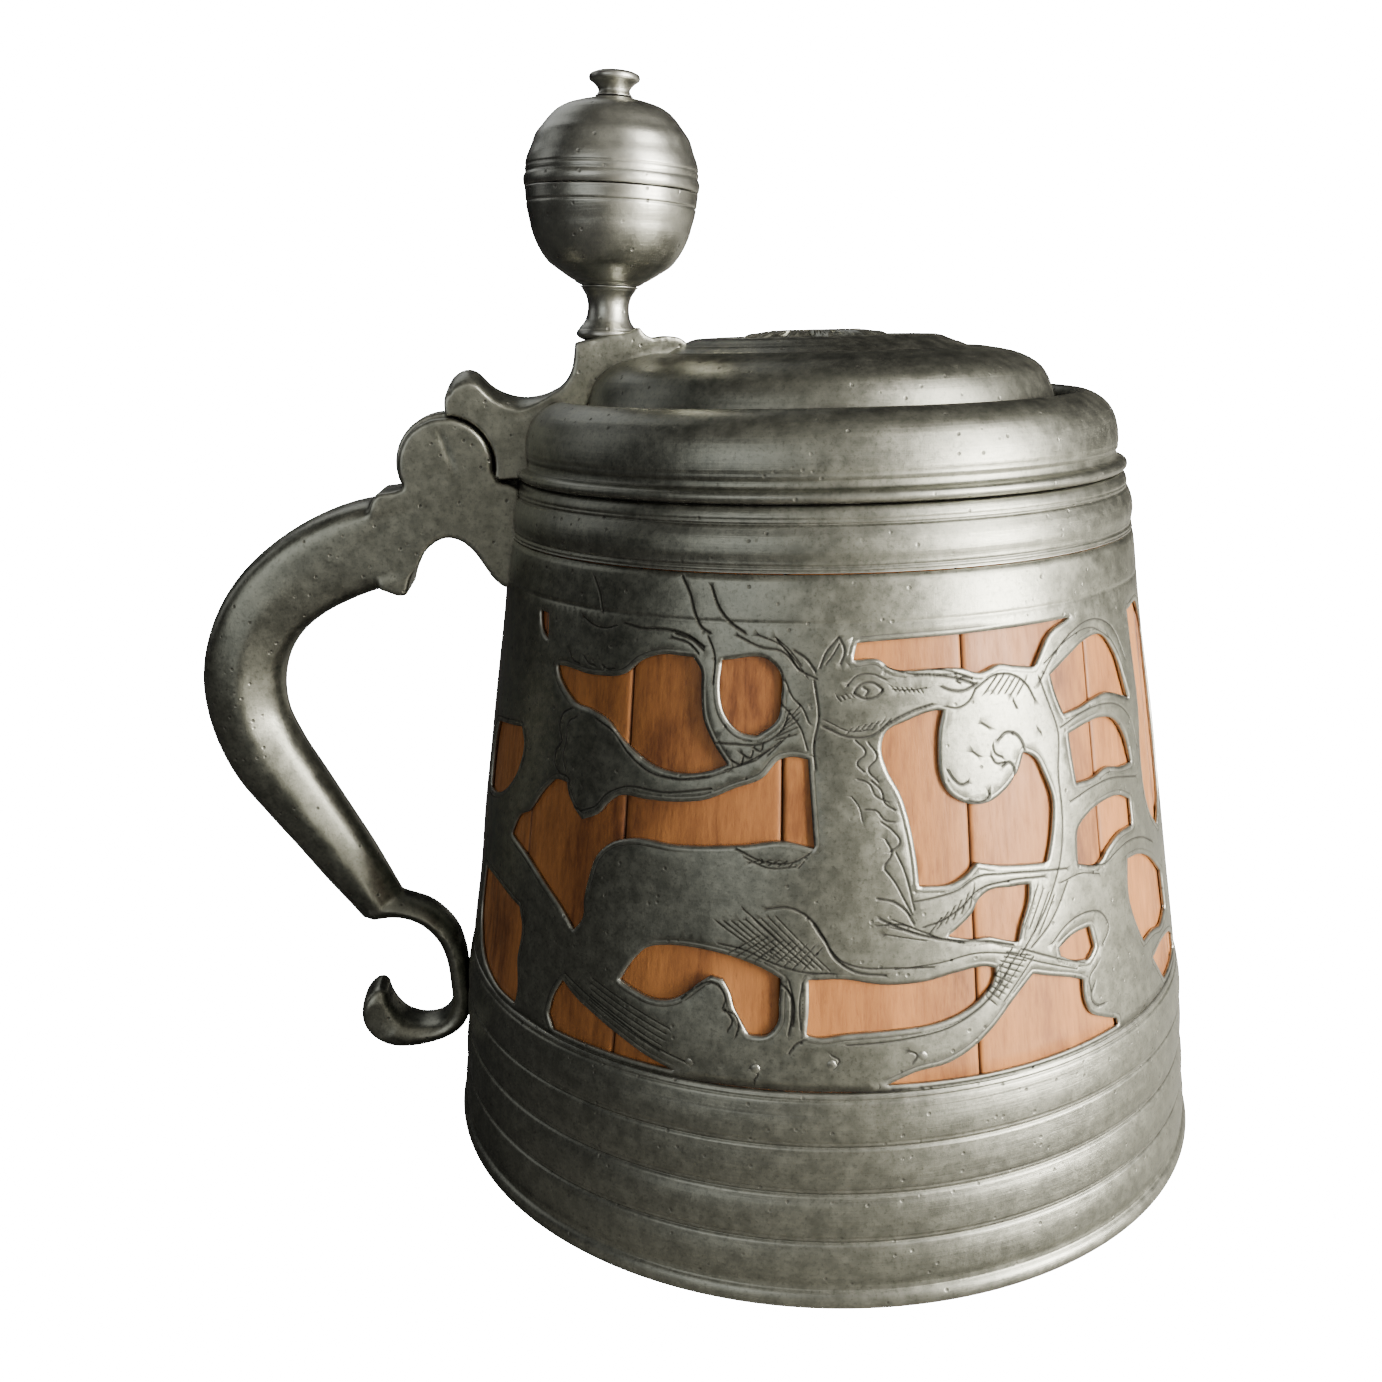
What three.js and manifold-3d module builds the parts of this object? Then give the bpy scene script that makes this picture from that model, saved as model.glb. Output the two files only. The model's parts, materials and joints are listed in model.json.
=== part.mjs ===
// Lidded stave tankard: a bucket of conical wooden staves held by pewter mounts, with a hinged pewter lid.
//
// Millimetres, +Z up. The origin is on the body's axis at the height of the table. The handle, the hinge
// and the ball thumbpiece lie in the plane y = 0, on the -X side. Each mesh is one separate physical piece.

import * as THREE from 'three';
import Module from 'manifold-3d';
import { mergeVertices } from 'three/addons/utils/BufferGeometryUtils.js';

const wasm = await Module();
wasm.setup();

// ---------------------------------------------------------------- driving dimensions

const GAP = 0.3; // clearance left between neighbouring pieces
const FACETS = 40; // flats round every turned piece of the body, so that the pieces nest

// Body: the outside is one cone from the foot band's seam to the rim.
const SEAM_Z = 40.7;
const SEAM_RADIUS = 77.5;
const CONE_SLOPE = 0.1505; // radius lost per millimetre of height
const FOOT_RADIUS = 82.4;
const FRIEZE_TOP_Z = 129.6;
const RIM_Z = 140.8;
const RIM_RADIUS = 61.7;
const SKIN = 1.2; // thickness of the pewter openwork

// Staves: joints between them, in degrees round the body, as the cooper left them.
const STAVE_JOINTS = [3, 29, 54, 80, 105, 131, 157, 182.5, 209, 230.7, 255.2, 282.3, 307.3, 333];
const STAVE_TOP_Z = RIM_Z - 1.3;
const STAVE_THICKNESS_FOOT = 9;
const STAVE_THICKNESS_RIM = 7.5;
const CROZE_Z = 11; // underside of the groove that holds the bottom board
const CROZE_WIDTH = 6;
const CROZE_DEPTH = 3;
const CHIME = 1.2; // chamfer on the stave ends

// Hinge: axis along Y.
const HINGE_X = -76;
const HINGE_Z = 144.6;
const EAR_RADIUS = 9.3;
const KNUCKLE_RADIUS = 10.2;
const EAR_OUTSIDE = 9; // half the width over both ears
const KNUCKLE_HALF_WIDTH = 4.2;
const PIN_RADIUS = 2.5;
const PIN_SIDES = 20;
const BLIND_WALL = 1; // pewter left over the pin's end in the front ear

// Lid.
const LID_WALL = 2.2;
const LID_BASE_Z = RIM_Z + GAP;
const MEDALLION_RADIUS = 22.5;
const MEDALLION_SEAT_Z = 165.8;

// Strap on the lid, and the ball thumbpiece, which leans towards the lid's middle.
const STRAP_HALF_WIDTH = 8;
const THUMB_X = -42.4;
const THUMB_FOOT_Z = 169;
const THUMB_LEAN = THREE.MathUtils.degToRad(3.8);
const BALL_WALL = 1.8;
const BALL_SEAM_Z = 196.4; // soldered seam between the ball's halves
const THUMB_FACETS = 20;

// ---------------------------------------------------------------- materials

const pewter = new THREE.MeshStandardMaterial({ color: 0x7d7d76, roughness: 0.42, metalness: 1 });
const darkPewter = new THREE.MeshStandardMaterial({ color: 0x63635e, roughness: 0.5, metalness: 1 });
const maple = new THREE.MeshStandardMaterial({ color: 0xb97a4c, roughness: 0.62, metalness: 0 });
const pitchedWood = new THREE.MeshStandardMaterial({ color: 0x5b3a22, roughness: 0.7, metalness: 0 });
const iron = new THREE.MeshStandardMaterial({ color: 0x4a4742, roughness: 0.55, metalness: 1 });

// ---------------------------------------------------------------- geometry helpers

/** A closed three.js geometry as a manifold solid, with its shared vertices merged. */
function toSolid(geometry) {
  const bare = geometry.clone();
  bare.deleteAttribute('normal');
  bare.deleteAttribute('uv');
  const merged = mergeVertices(bare, 1e-4);
  const vertProperties = new Float32Array(merged.attributes.position.array);
  const triVerts = new Uint32Array(merged.index.array);
  return new wasm.Manifold(new wasm.Mesh({ numProp: 3, vertProperties, triVerts }));
}

/** A manifold solid as a three.js geometry. */
function toGeometry(solid) {
  const mesh = solid.getMesh();
  const geometry = new THREE.BufferGeometry();
  geometry.setAttribute('position', new THREE.BufferAttribute(mesh.vertProperties, 3));
  geometry.setIndex(new THREE.BufferAttribute(mesh.triVerts, 1));
  geometry.computeVertexNormals();
  return geometry;
}

/** A turned solid about Z from [radius, z] points, listed upwards along the outside and back down. */
function turned(points, facets = FACETS) {
  const profile = points.map(([radius, z]) => new THREE.Vector2(radius, z));
  return new THREE.LatheGeometry(profile, facets).rotateX(Math.PI / 2);
}

/** A plate in the handle's plane: an outline of [distance from the axis towards -X, z], half-width in y. */
function plate(shape, halfWidth, bevel = 0) {
  const depth = 2 * (halfWidth - bevel);
  const options = {
    depth,
    steps: 1,
    curveSegments: 6,
    bevelEnabled: bevel > 0,
    bevelThickness: bevel,
    bevelSize: bevel,
    bevelOffset: -bevel,
    bevelSegments: 1,
  };
  const geometry = new THREE.ExtrudeGeometry(shape, options);
  geometry.translate(0, 0, -depth / 2);
  // Shape x is the distance towards -X and shape y is z: a proper turn, so faces keep pointing outwards.
  geometry.rotateX(Math.PI / 2);
  return geometry.rotateZ(Math.PI);
}

/** A round bar along Y through the hinge axis, between two y values. */
function hingeBar(radius, yLow, yHigh, facets = 36) {
  const bar = new THREE.CylinderGeometry(radius, radius, yHigh - yLow, facets);
  return bar.translate(HINGE_X, (yLow + yHigh) / 2, HINGE_Z);
}

/** A closed skin over rings of equally many points, each ring a list of Vector3, capped flat at both ends. */
function lofted(rings) {
  const sides = rings[0].length;
  const positions = rings.flat().flatMap((point) => [point.x, point.y, point.z]);
  const index = [];
  for (let ring = 0; ring < rings.length - 1; ring += 1) {
    for (let side = 0; side < sides; side += 1) {
      const next = (side + 1) % sides;
      const a = ring * sides + side;
      const b = ring * sides + next;
      index.push(a, b + sides, b, a, a + sides, b + sides);
    }
  }
  const last = (rings.length - 1) * sides;
  for (let side = 1; side < sides - 1; side += 1) {
    index.push(0, side, side + 1);
    index.push(last, last + side + 1, last + side);
  }
  const geometry = new THREE.BufferGeometry();
  geometry.setAttribute('position', new THREE.Float32BufferAttribute(positions, 3));
  geometry.setIndex(index);
  return geometry;
}

/** The cone that the openwork and the upper band lie on. */
function coneRadius(z) {
  return SEAM_RADIUS - CONE_SLOPE * (z - SEAM_Z);
}

// ---------------------------------------------------------------- body profiles, as [radius, z]

const WOOD_OUTSIDE = [
  [FOOT_RADIUS - 3, 0],
  [SEAM_RADIUS - SKIN - GAP - 0.1, SEAM_Z],
  [coneRadius(FRIEZE_TOP_Z) - SKIN - GAP, FRIEZE_TOP_Z],
  [RIM_RADIUS - 1.4, STAVE_TOP_Z],
];

/** Radius on a profile of [radius, z] points at height z. */
function radiusAt(profile, z) {
  const above = Math.max(1, profile.findIndex((point) => point[1] >= z));
  const [r0, z0] = profile[above - 1];
  const [r1, z1] = profile[above];
  return r0 + ((r1 - r0) * (z - z0)) / (z1 - z0);
}

/** Radius of the staves' inside at height z. */
function insideRadius(z) {
  const foot = WOOD_OUTSIDE[0][0] - STAVE_THICKNESS_FOOT;
  const rim = WOOD_OUTSIDE[3][0] - STAVE_THICKNESS_RIM;
  return foot + ((rim - foot) * z) / STAVE_TOP_Z;
}

// Foot band: a lip and four shallow convex hoops with a groove between each.
const FOOT_BAND_OUTSIDE = [
  [FOOT_RADIUS, 0],
  [FOOT_RADIUS, 1.6],
  [81.6, 3.6],
  [81.7, 8],
  [80.5, 12.5],
  [80.8, 17],
  [79.6, 21.6],
  [80.1, 26.2],
  [79.0, 30.7],
  [78.9, 36],
  [SEAM_RADIUS, SEAM_Z - GAP],
];

// Upper band: from the groove that hides its joint with the frieze, over a slightly full neck to the rim.
const UPPER_BAND_OUTSIDE = [
  [coneRadius(FRIEZE_TOP_Z), FRIEZE_TOP_Z],
  [63.5, 130.4],
  [63.5, 134],
  [62.3, 138],
  [RIM_RADIUS, RIM_Z],
];

const RIM_LIP_DEPTH = 5; // how far the rim is turned down inside the mouth
const RIM_LIP_WALL = 0.9;
const MOUTH_RADIUS = insideRadius(STAVE_TOP_Z) - GAP - RIM_LIP_WALL;

/** The whole outside of the body grown by the gap: what the handle is fitted against. */
function bodyEnvelope() {
  const outside = [...FOOT_BAND_OUTSIDE, ...UPPER_BAND_OUTSIDE];
  const grown = outside.map(([radius, z]) => [radius + GAP, z]);
  return turned([[0, 0], ...grown, [0, RIM_Z]]);
}

// ---------------------------------------------------------------- staves and bottom board

/** The staves' ring as one turned solid, with chamfered ends and the croze groove cut inside. */
function staveRing() {
  const crozeTop = CROZE_Z + CROZE_WIDTH;
  return turned([
    [WOOD_OUTSIDE[0][0] - CHIME, 0],
    [WOOD_OUTSIDE[0][0], CHIME],
    WOOD_OUTSIDE[1],
    WOOD_OUTSIDE[2],
    WOOD_OUTSIDE[3],
    [insideRadius(STAVE_TOP_Z), STAVE_TOP_Z],
    [insideRadius(crozeTop), crozeTop],
    [insideRadius(crozeTop) + CROZE_DEPTH, crozeTop],
    [insideRadius(CROZE_Z) + CROZE_DEPTH, CROZE_Z],
    [insideRadius(CROZE_Z), CROZE_Z],
    [insideRadius(CHIME), CHIME],
    [insideRadius(0) + CHIME, 0],
    [WOOD_OUTSIDE[0][0] - CHIME, 0],
  ]);
}

/** The sector between two joints, as a wedge with half the gap off each side. */
function staveSector(fromDegrees, toDegrees) {
  const from = THREE.MathUtils.degToRad(fromDegrees);
  const to = THREE.MathUtils.degToRad(toDegrees);
  const reach = 1.3 * FOOT_RADIUS;
  const middle = (from + to) / 2;
  // Both sides move inwards along their normals by half the gap, so the wedge's tip moves out.
  const tip = GAP / 2 / Math.sin((to - from) / 2);
  const tipX = tip * Math.cos(middle);
  const tipY = tip * Math.sin(middle);
  const wedge = new THREE.Shape();
  wedge.moveTo(tipX, tipY);
  wedge.lineTo(tipX + reach * Math.cos(from), tipY + reach * Math.sin(from));
  wedge.lineTo(tipX + reach * Math.cos(to), tipY + reach * Math.sin(to));
  wedge.closePath();
  const sector = new THREE.ExtrudeGeometry(wedge, { depth: RIM_Z + 2, bevelEnabled: false });
  return sector.translate(0, 0, -1);
}

/** Each stave is the ring's part in its own sector, less the holes of the frieze pins. */
function staves(pinHoles) {
  const ring = toSolid(staveRing());
  return STAVE_JOINTS.map((from, number) => {
    const to = STAVE_JOINTS[number + 1] ?? STAVE_JOINTS[0] + 360;
    let stave = ring.intersect(toSolid(staveSector(from, to)));
    for (const hole of pinHoles) {
      stave = stave.subtract(hole);
    }
    return toGeometry(stave);
  });
}

/** A round board with a chamfered edge that sits in the croze. */
function bottomBoard() {
  const low = CROZE_Z + GAP;
  const high = CROZE_Z + CROZE_WIDTH - GAP;
  const edge = insideRadius(CROZE_Z + CROZE_WIDTH) + CROZE_DEPTH - GAP;
  return turned([
    [0, low],
    [edge, low],
    [edge, high],
    [insideRadius(high) - GAP, high],
    [insideRadius(high) - GAP - 2, high + 2],
    [0, high + 2],
  ]);
}

// ---------------------------------------------------------------- pewter bands

function footBand() {
  return turned([
    ...FOOT_BAND_OUTSIDE,
    [WOOD_OUTSIDE[1][0] + GAP, SEAM_Z - GAP],
    [WOOD_OUTSIDE[0][0] + GAP, CHIME],
    [WOOD_OUTSIDE[0][0] + GAP, 0],
    FOOT_BAND_OUTSIDE[0],
  ]);
}

/** The band goes over the stave ends and is turned down inside the mouth. */
function upperBand() {
  const low = FRIEZE_TOP_Z + GAP;
  return turned([
    [coneRadius(low), low],
    ...UPPER_BAND_OUTSIDE.slice(1),
    [MOUTH_RADIUS, RIM_Z],
    [MOUTH_RADIUS, RIM_Z - RIM_LIP_DEPTH],
    [MOUTH_RADIUS + RIM_LIP_WALL, RIM_Z - RIM_LIP_DEPTH],
    [MOUTH_RADIUS + RIM_LIP_WALL, STAVE_TOP_Z + GAP],
    [WOOD_OUTSIDE[3][0] + GAP, STAVE_TOP_Z + GAP],
    [radiusAt(WOOD_OUTSIDE, low) + GAP, low],
    [coneRadius(low), low],
  ]);
}

// ---------------------------------------------------------------- openwork frieze

// Windows that show the wood, as [degrees round the body, z]. Together they leave a leaping stag in
// scrolling stems. The same run comes again half a turn on, for the side behind.
const WINDOWS = {
  behindAntlers: [[-146, 109], [-136, 110], [-127, 114.5], [-118, 115], [-116.5, 105], [-113, 97.3],
    [-120, 95], [-130, 98], [-136, 103.5], [-143, 106]],
  betweenAntlers: [[-113.8, 115], [-106, 115], [-105, 108], [-108.5, 102.5], [-112, 104], [-114.3, 110]],
  overBack: [[-156, 74], [-150.5, 81], [-145.5, 87.5], [-141, 88], [-137, 83.5], [-132, 87], [-128, 89.5],
    [-116, 91], [-108, 95.5], [-103, 99], [-100.3, 84], [-112, 82.8], [-128, 82], [-134, 77], [-135.7, 66],
    [-137.5, 62.5], [-145, 69]],
  underBelly: [[-128.3, 55.8], [-124, 63], [-116, 64.5], [-105, 61.5], [-105.2, 53], [-108.5, 50.4],
    [-111.3, 56], [-114.5, 59.8], [-119, 55]],
  lowLeft: [[-141, 45.5], [-139, 52], [-130, 47], [-120, 42.2], [-140.4, 42.2]],
  underForelegs: [[-101, 60.5], [-90, 59.8], [-76.5, 60.5], [-80, 53.5], [-90, 51.3], [-100.8, 51]],
  underHead: [[-90.2, 102.5], [-82, 106], [-82.3, 97], [-78.5, 90], [-71.5, 91.5], [-68, 97], [-63.8, 87],
    [-65.3, 77], [-76.5, 79], [-80.5, 76.5], [-86, 76.5], [-88, 92]],
  betweenForelegs: [[-80.5, 67.5], [-76.5, 74], [-69, 73.5], [-71, 64.5], [-77, 66]],
  underScroll: [[-69, 57.3], [-59.8, 54], [-58.5, 46.5], [-53, 42.2], [-91, 42.2], [-80, 46], [-73, 53]],
  byHoof: [[-64, 60.8], [-58, 62.7], [-56.9, 58], [-62, 57.5]],
  overHead: [[-94, 116.3], [-90, 118.4], [-58, 118.8], [-64.5, 113], [-76, 112.4], [-88, 114.5]],
  ribTop: [[-62.2, 109], [-53, 114], [-46, 113.2], [-41, 101.3], [-50, 103.4], [-61, 102]],
  ribMiddle: [[-59, 98], [-50, 99.6], [-44, 95], [-42, 88.7], [-50, 90], [-58.5, 89.3]],
  ribLow: [[-58.7, 80.5], [-52, 84.3], [-43.3, 82], [-43.3, 76.6], [-53, 74], [-59, 74.8]],
  rightLeaf: [[-46.5, 71], [-40, 69], [-30, 60], [-31, 53], [-43, 53.5], [-47, 64]],
  rightFoot: [[-40, 48.5], [-31, 49], [-24, 44], [-27, 42.2], [-36, 42.2]],
  trunkLow: [[-170, 66], [-160, 64], [-149, 61], [-142.5, 57], [-149.5, 42.2], [-158, 42.2], [-166, 45],
    [-170, 52]],
  trunkHigh: [[-171, 92], [-155.5, 96], [-154.5, 91], [-158, 83.5], [-167, 78.4]],
  rightTall: [[-34.5, 110], [-27, 114], [-22, 104], [-22, 78], [-28, 70], [-35, 76], [-37, 92]],
};

// Pins through the frieze's foot strip into the staves, as [degrees, z].
const FRIEZE_PINS = [[-108, 44.2], [-98, 45.6], [-86, 46.4], [-117, 43.8]];
const PIN_SHANK_RADIUS = 1.1;
const PIN_LENGTH = 5;
const PIN_FACETS = 8;

/** A radial prism over a closed outline of [degrees, z], reaching from a little under the skin outwards. */
function radialPrism(outline, innerRadius, outerRadius) {
  const ring = (radius) =>
    outline.map(([degrees, z]) => {
      const angle = THREE.MathUtils.degToRad(degrees);
      return new THREE.Vector3(radius * Math.cos(angle), radius * Math.sin(angle), z);
    });
  const flat = outline.map(([degrees, z]) => new THREE.Vector2(degrees, z));
  const faces = THREE.ShapeUtils.triangulateShape(flat, []);
  const count = outline.length;
  const positions = [...ring(innerRadius), ...ring(outerRadius)].flatMap((p) => [p.x, p.y, p.z]);
  const turn = THREE.ShapeUtils.area(flat) > 0 ? 1 : -1;
  const index = [];
  const add = (a, b, c) => (turn > 0 ? index.push(a, b, c) : index.push(a, c, b));
  for (const [a, b, c] of faces) {
    const upright = THREE.ShapeUtils.area([flat[a], flat[b], flat[c]]) > 0 === turn > 0;
    const [p, q] = upright ? [b, c] : [c, b];
    add(a, q, p);
    add(count + a, count + p, count + q);
  }
  for (let i = 0; i < count; i += 1) {
    const j = (i + 1) % count;
    add(i, j, count + j);
    add(i, count + j, count + i);
  }
  const geometry = new THREE.BufferGeometry();
  geometry.setAttribute('position', new THREE.Float32BufferAttribute(positions, 3));
  geometry.setIndex(index);
  return geometry;
}

/** A bar along the radius at [degrees, z], from one radius to another. */
function radialBar([degrees, z], radius, fromRadius, toRadius) {
  const bar = new THREE.CylinderGeometry(radius, radius, toRadius - fromRadius, PIN_FACETS);
  bar.rotateZ(-Math.PI / 2);
  bar.translate((fromRadius + toRadius) / 2, 0, 0);
  bar.rotateZ(THREE.MathUtils.degToRad(degrees));
  return bar.translate(0, 0, z);
}

/** The conical skin between the bands, less every window and the pin holes. */
function frieze(pinHoles) {
  const low = SEAM_Z + GAP / 2;
  const high = FRIEZE_TOP_Z;
  const skin = turned([
    [coneRadius(low), low],
    [coneRadius(high), high],
    [coneRadius(high) - SKIN, high],
    [coneRadius(low) - SKIN, low],
    [coneRadius(low), low],
  ]);
  let openwork = toSolid(skin);
  for (const outline of Object.values(WINDOWS)) {
    for (const halfTurn of [0, 180]) {
      const placed = outline.map(([degrees, z]) => [degrees + halfTurn, z]);
      openwork = openwork.subtract(toSolid(radialPrism(placed, 0.6 * SEAM_RADIUS, 1.2 * SEAM_RADIUS)));
    }
  }
  for (const hole of pinHoles) {
    openwork = openwork.subtract(hole);
  }
  return toGeometry(openwork);
}

function friezePins() {
  return FRIEZE_PINS.map((place) => {
    const outside = coneRadius(place[1]);
    return radialBar(place, PIN_SHANK_RADIUS, outside - PIN_LENGTH, outside);
  });
}

function friezePinHoles() {
  return FRIEZE_PINS.map((place) => {
    const outside = coneRadius(place[1]);
    return toSolid(radialBar(place, PIN_SHANK_RADIUS + GAP, outside - PIN_LENGTH - GAP, outside + 2));
  });
}

// ---------------------------------------------------------------- handle, as [distance from axis, z]

const EAR_SHOULDER_Z = 139.9; // where the step behind the ears meets their round
const ARCH_TOP = [76.5, 130.2]; // crown of the small arch between the grip and the body
const ARM_HALF_WIDTH = 5.6;
const ARM_BEVEL = 1.2;

// Grip: middle line of the S-curve with its thickness in the plane and its width across it.
const GRIP = [
  { at: [88.5, 129.3], thick: 18, wide: 17.6 },
  { at: [94, 128], thick: 18.2, wide: 17.4 },
  { at: [101, 125.6], thick: 18, wide: 17 },
  { at: [108, 121.8], thick: 17.4, wide: 16.5 },
  { at: [114.4, 116.4], thick: 16.8, wide: 16.2 },
  { at: [119.2, 109.5], thick: 16.4, wide: 16 },
  { at: [121.6, 101.5], thick: 16.6, wide: 16 },
  { at: [121.2, 93], thick: 16.6, wide: 16 },
  { at: [118, 84.5], thick: 16.2, wide: 15.6 },
  { at: [113.1, 76], thick: 15.2, wide: 15 },
  { at: [107.9, 67.4], thick: 13.8, wide: 14 },
  { at: [102.8, 58.8], thick: 12.6, wide: 13 },
  { at: [98, 50.6], thick: 11.4, wide: 12 },
];

// Section of the grip: a long octagon with a soft ridge down each side.
const GRIP_SECTION = [[1, 0.3], [0.62, 0.8], [0, 1], [-0.62, 0.8], [-1, 0.3], [-1, -0.3], [-0.62, -0.8],
  [0, -1], [0.62, -0.8], [1, -0.3]];

/** The grip: its octagon carried square to the middle line. */
function grip() {
  const line = new THREE.SplineCurve(GRIP.map(({ at }) => new THREE.Vector2(at[0], at[1])));
  const rings = GRIP.map(({ at, thick, wide }, station) => {
    const tangent = line.getTangent(station / (GRIP.length - 1));
    return GRIP_SECTION.map(([across, side]) => {
      const distance = at[0] + (across * thick * tangent.y) / 2;
      const z = at[1] - (across * thick * tangent.x) / 2;
      return new THREE.Vector3(-distance, (side * wide) / 2, z);
    });
  });
  return lofted(rings);
}

// Ears and upper root: from the step behind the ears, over them, down the body, and round the arch.
function earPlate() {
  const shape = new THREE.Shape();
  shape.moveTo(91, 118.6);
  shape.lineTo(91, 138.4);
  shape.lineTo(89.4, 139.4);
  shape.lineTo(-HINGE_X + 8, EAR_SHOULDER_Z);
  const [start, end] = [-30, 200].map(THREE.MathUtils.degToRad);
  shape.absarc(-HINGE_X, HINGE_Z, EAR_RADIUS, start, end, false);
  shape.lineTo(64.4, 137.6);
  shape.lineTo(62, 136);
  shape.lineTo(62, 119.4);
  shape.lineTo(66.4, 119.4);
  shape.lineTo(69.3, 123.6);
  shape.lineTo(72.6, 128.4);
  shape.lineTo(...ARCH_TOP);
  shape.lineTo(80.4, 128.2);
  shape.lineTo(84.2, 123.4);
  shape.lineTo(86.6, 118.6);
  shape.closePath();
  return plate(shape, EAR_OUTSIDE);
}

// Lower arm, the strip down the foot band, and the scroll that curls out from it.
const LOWER_ARM = [[103.8, 53], [91.6, 50], [88.3, 48.8], [85.3, 46.6], [81.6, 42.4], [76, 40], [76, 18],
  [81.5, 18.2], [85, 16.6], [88.5, 15.2], [92.5, 14.5], [96.4, 14.9], [99.6, 16.3], [102, 18.6],
  [103.7, 21.2], [104, 23.2], [102.9, 25.2], [100.8, 27.2], [98.9, 28.6], [96.8, 29.2], [95.2, 28.2],
  [94.1, 25.8], [93.2, 22.6], [89.2, 20.2], [85.9, 20], [83.6, 21.6], [83.1, 30], [83.8, 36.6], [85.4, 40.6],
  [87.8, 43.3], [91, 45], [95, 45.6], [99.5, 45.5], [102, 44.9]];

function lowerArm() {
  const shape = new THREE.Shape(LOWER_ARM.map(([distance, z]) => new THREE.Vector2(distance, z)));
  return plate(shape, ARM_HALF_WIDTH, ARM_BEVEL);
}

/** One casting: ears, grip, lower arm and scroll, fitted to the body and slotted for the lid's knuckle. */
function handle() {
  const slotRadius = KNUCKLE_RADIUS + 1.3 * GAP;
  const slotHalf = KNUCKLE_HALF_WIDTH + GAP;
  const slot = hingeBar(slotRadius, -slotHalf, slotHalf);
  const boreEnd = -EAR_OUTSIDE + BLIND_WALL - GAP;
  const bore = hingeBar(PIN_RADIUS + GAP, boreEnd, EAR_OUTSIDE + 1, PIN_SIDES);
  const casting = toSolid(earPlate()).add(toSolid(grip())).add(toSolid(lowerArm()));
  const fitted = casting.subtract(toSolid(bodyEnvelope()));
  return toGeometry(fitted.subtract(toSolid(slot)).subtract(toSolid(bore)));
}

function hingePin() {
  return hingeBar(PIN_RADIUS, -EAR_OUTSIDE + BLIND_WALL, EAR_OUTSIDE, PIN_SIDES);
}

// ---------------------------------------------------------------- lid

// Outside of the lid from the medallion's seat down to the bead at its edge.
const LID_OUTSIDE = [
  [MEDALLION_RADIUS + GAP, MEDALLION_SEAT_Z],
  [MEDALLION_RADIUS + GAP, 167.6],
  [25.2, 167.5],
  [30, 165.8],
  [37.8, 164.6],
  [43.5, 162.4],
  [46.4, 160.1],
  [48, 156.8],
  [48.8, 153.6],
  [50.4, 152.9],
  [51.2, 155.6],
  [53.2, 156.4],
  [56.4, 155.3],
  [58.6, 153.2],
  [60.1, 150.2],
  [60.6, 145.6],
  [60.5, 144],
  [62.4, 142.6],
  [62.2, 141.5],
  [61.4, LID_BASE_Z],
];

// Underside of the lid, from the edge back to the middle: the same form one wall thickness in.
const LID_INSIDE = [
  [58.2, LID_BASE_Z],
  [58.3, 149.4],
  [56, 152.6],
  [53.4, 153.9],
  [51.4, 150.7],
  [47, 150.9],
  [46, 156],
  [44.6, 159],
  [41.6, 161],
  [30, 163.3],
  [0, MEDALLION_SEAT_Z - LID_WALL],
];

function lid() {
  return turned([[0, MEDALLION_SEAT_Z], ...LID_OUTSIDE, ...LID_INSIDE].reverse());
}

/** The outside of the lid grown by the gap upwards, outwards and inwards: what the strap is fitted against. */
function lidEnvelope() {
  const moved = [[0, GAP], [GAP, 0], [-GAP, 0]].map(([outwards, up]) => {
    const outside = LID_OUTSIDE.map(([radius, z]) => [radius + outwards, z + up]);
    return toSolid(turned([[0, outside[0][1]], ...outside, [0, LID_BASE_Z + up]].reverse()));
  });
  return moved[0].add(moved[1]).add(moved[2]);
}

/** A cast disc let into the lid: a raised rim round a low relief. */
function medallion() {
  const low = MEDALLION_SEAT_Z + GAP;
  return turned([
    [0, low],
    [MEDALLION_RADIUS, low],
    [MEDALLION_RADIUS, 168],
    [20.6, 168.3],
    [19.8, 167.4],
    [16, 168.3],
    [0, 169.1],
  ]);
}

// ---------------------------------------------------------------- strap and thumbpiece

// Side view of the strap as [distance from axis, z]: knuckle side, curl, saddle, pedestal and tongue.
const STRAP_SIDE = [[-HINGE_X, 134.4], [86, 141], [86, 149], [79, 154.3], [75.4, 155], [74.9, 159.2],
  [73.3, 161.9], [70.2, 162.9], [67.8, 161.5], [66.3, 159.7], [63.5, 158.1], [59.8, 157.2], [55.5, 157.7], [52.4, 158.8],
  [50.6, 160.6], [49.4, 163.2], [49.1, 167.9], [36.6, 169.8], [36.4, 170.6], [34.4, 168.2], [28.4, 167.9],
  [26.8, 166.6], [26.8, 160], [45, 150], [57, 141.4], [66, 141.4]];

// Top view of the strap: full width at the hinge, narrowing to the tongue's blunt tip.
const STRAP_TOP = [[-88, STRAP_HALF_WIDTH], [-54, STRAP_HALF_WIDTH], [-48, 7.2], [-36, 6.4], [-26, 2.6]];

const PEDESTAL_SLOPE = Math.atan2(169.8 - 167.9, 49.1 - 36.6);

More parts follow.
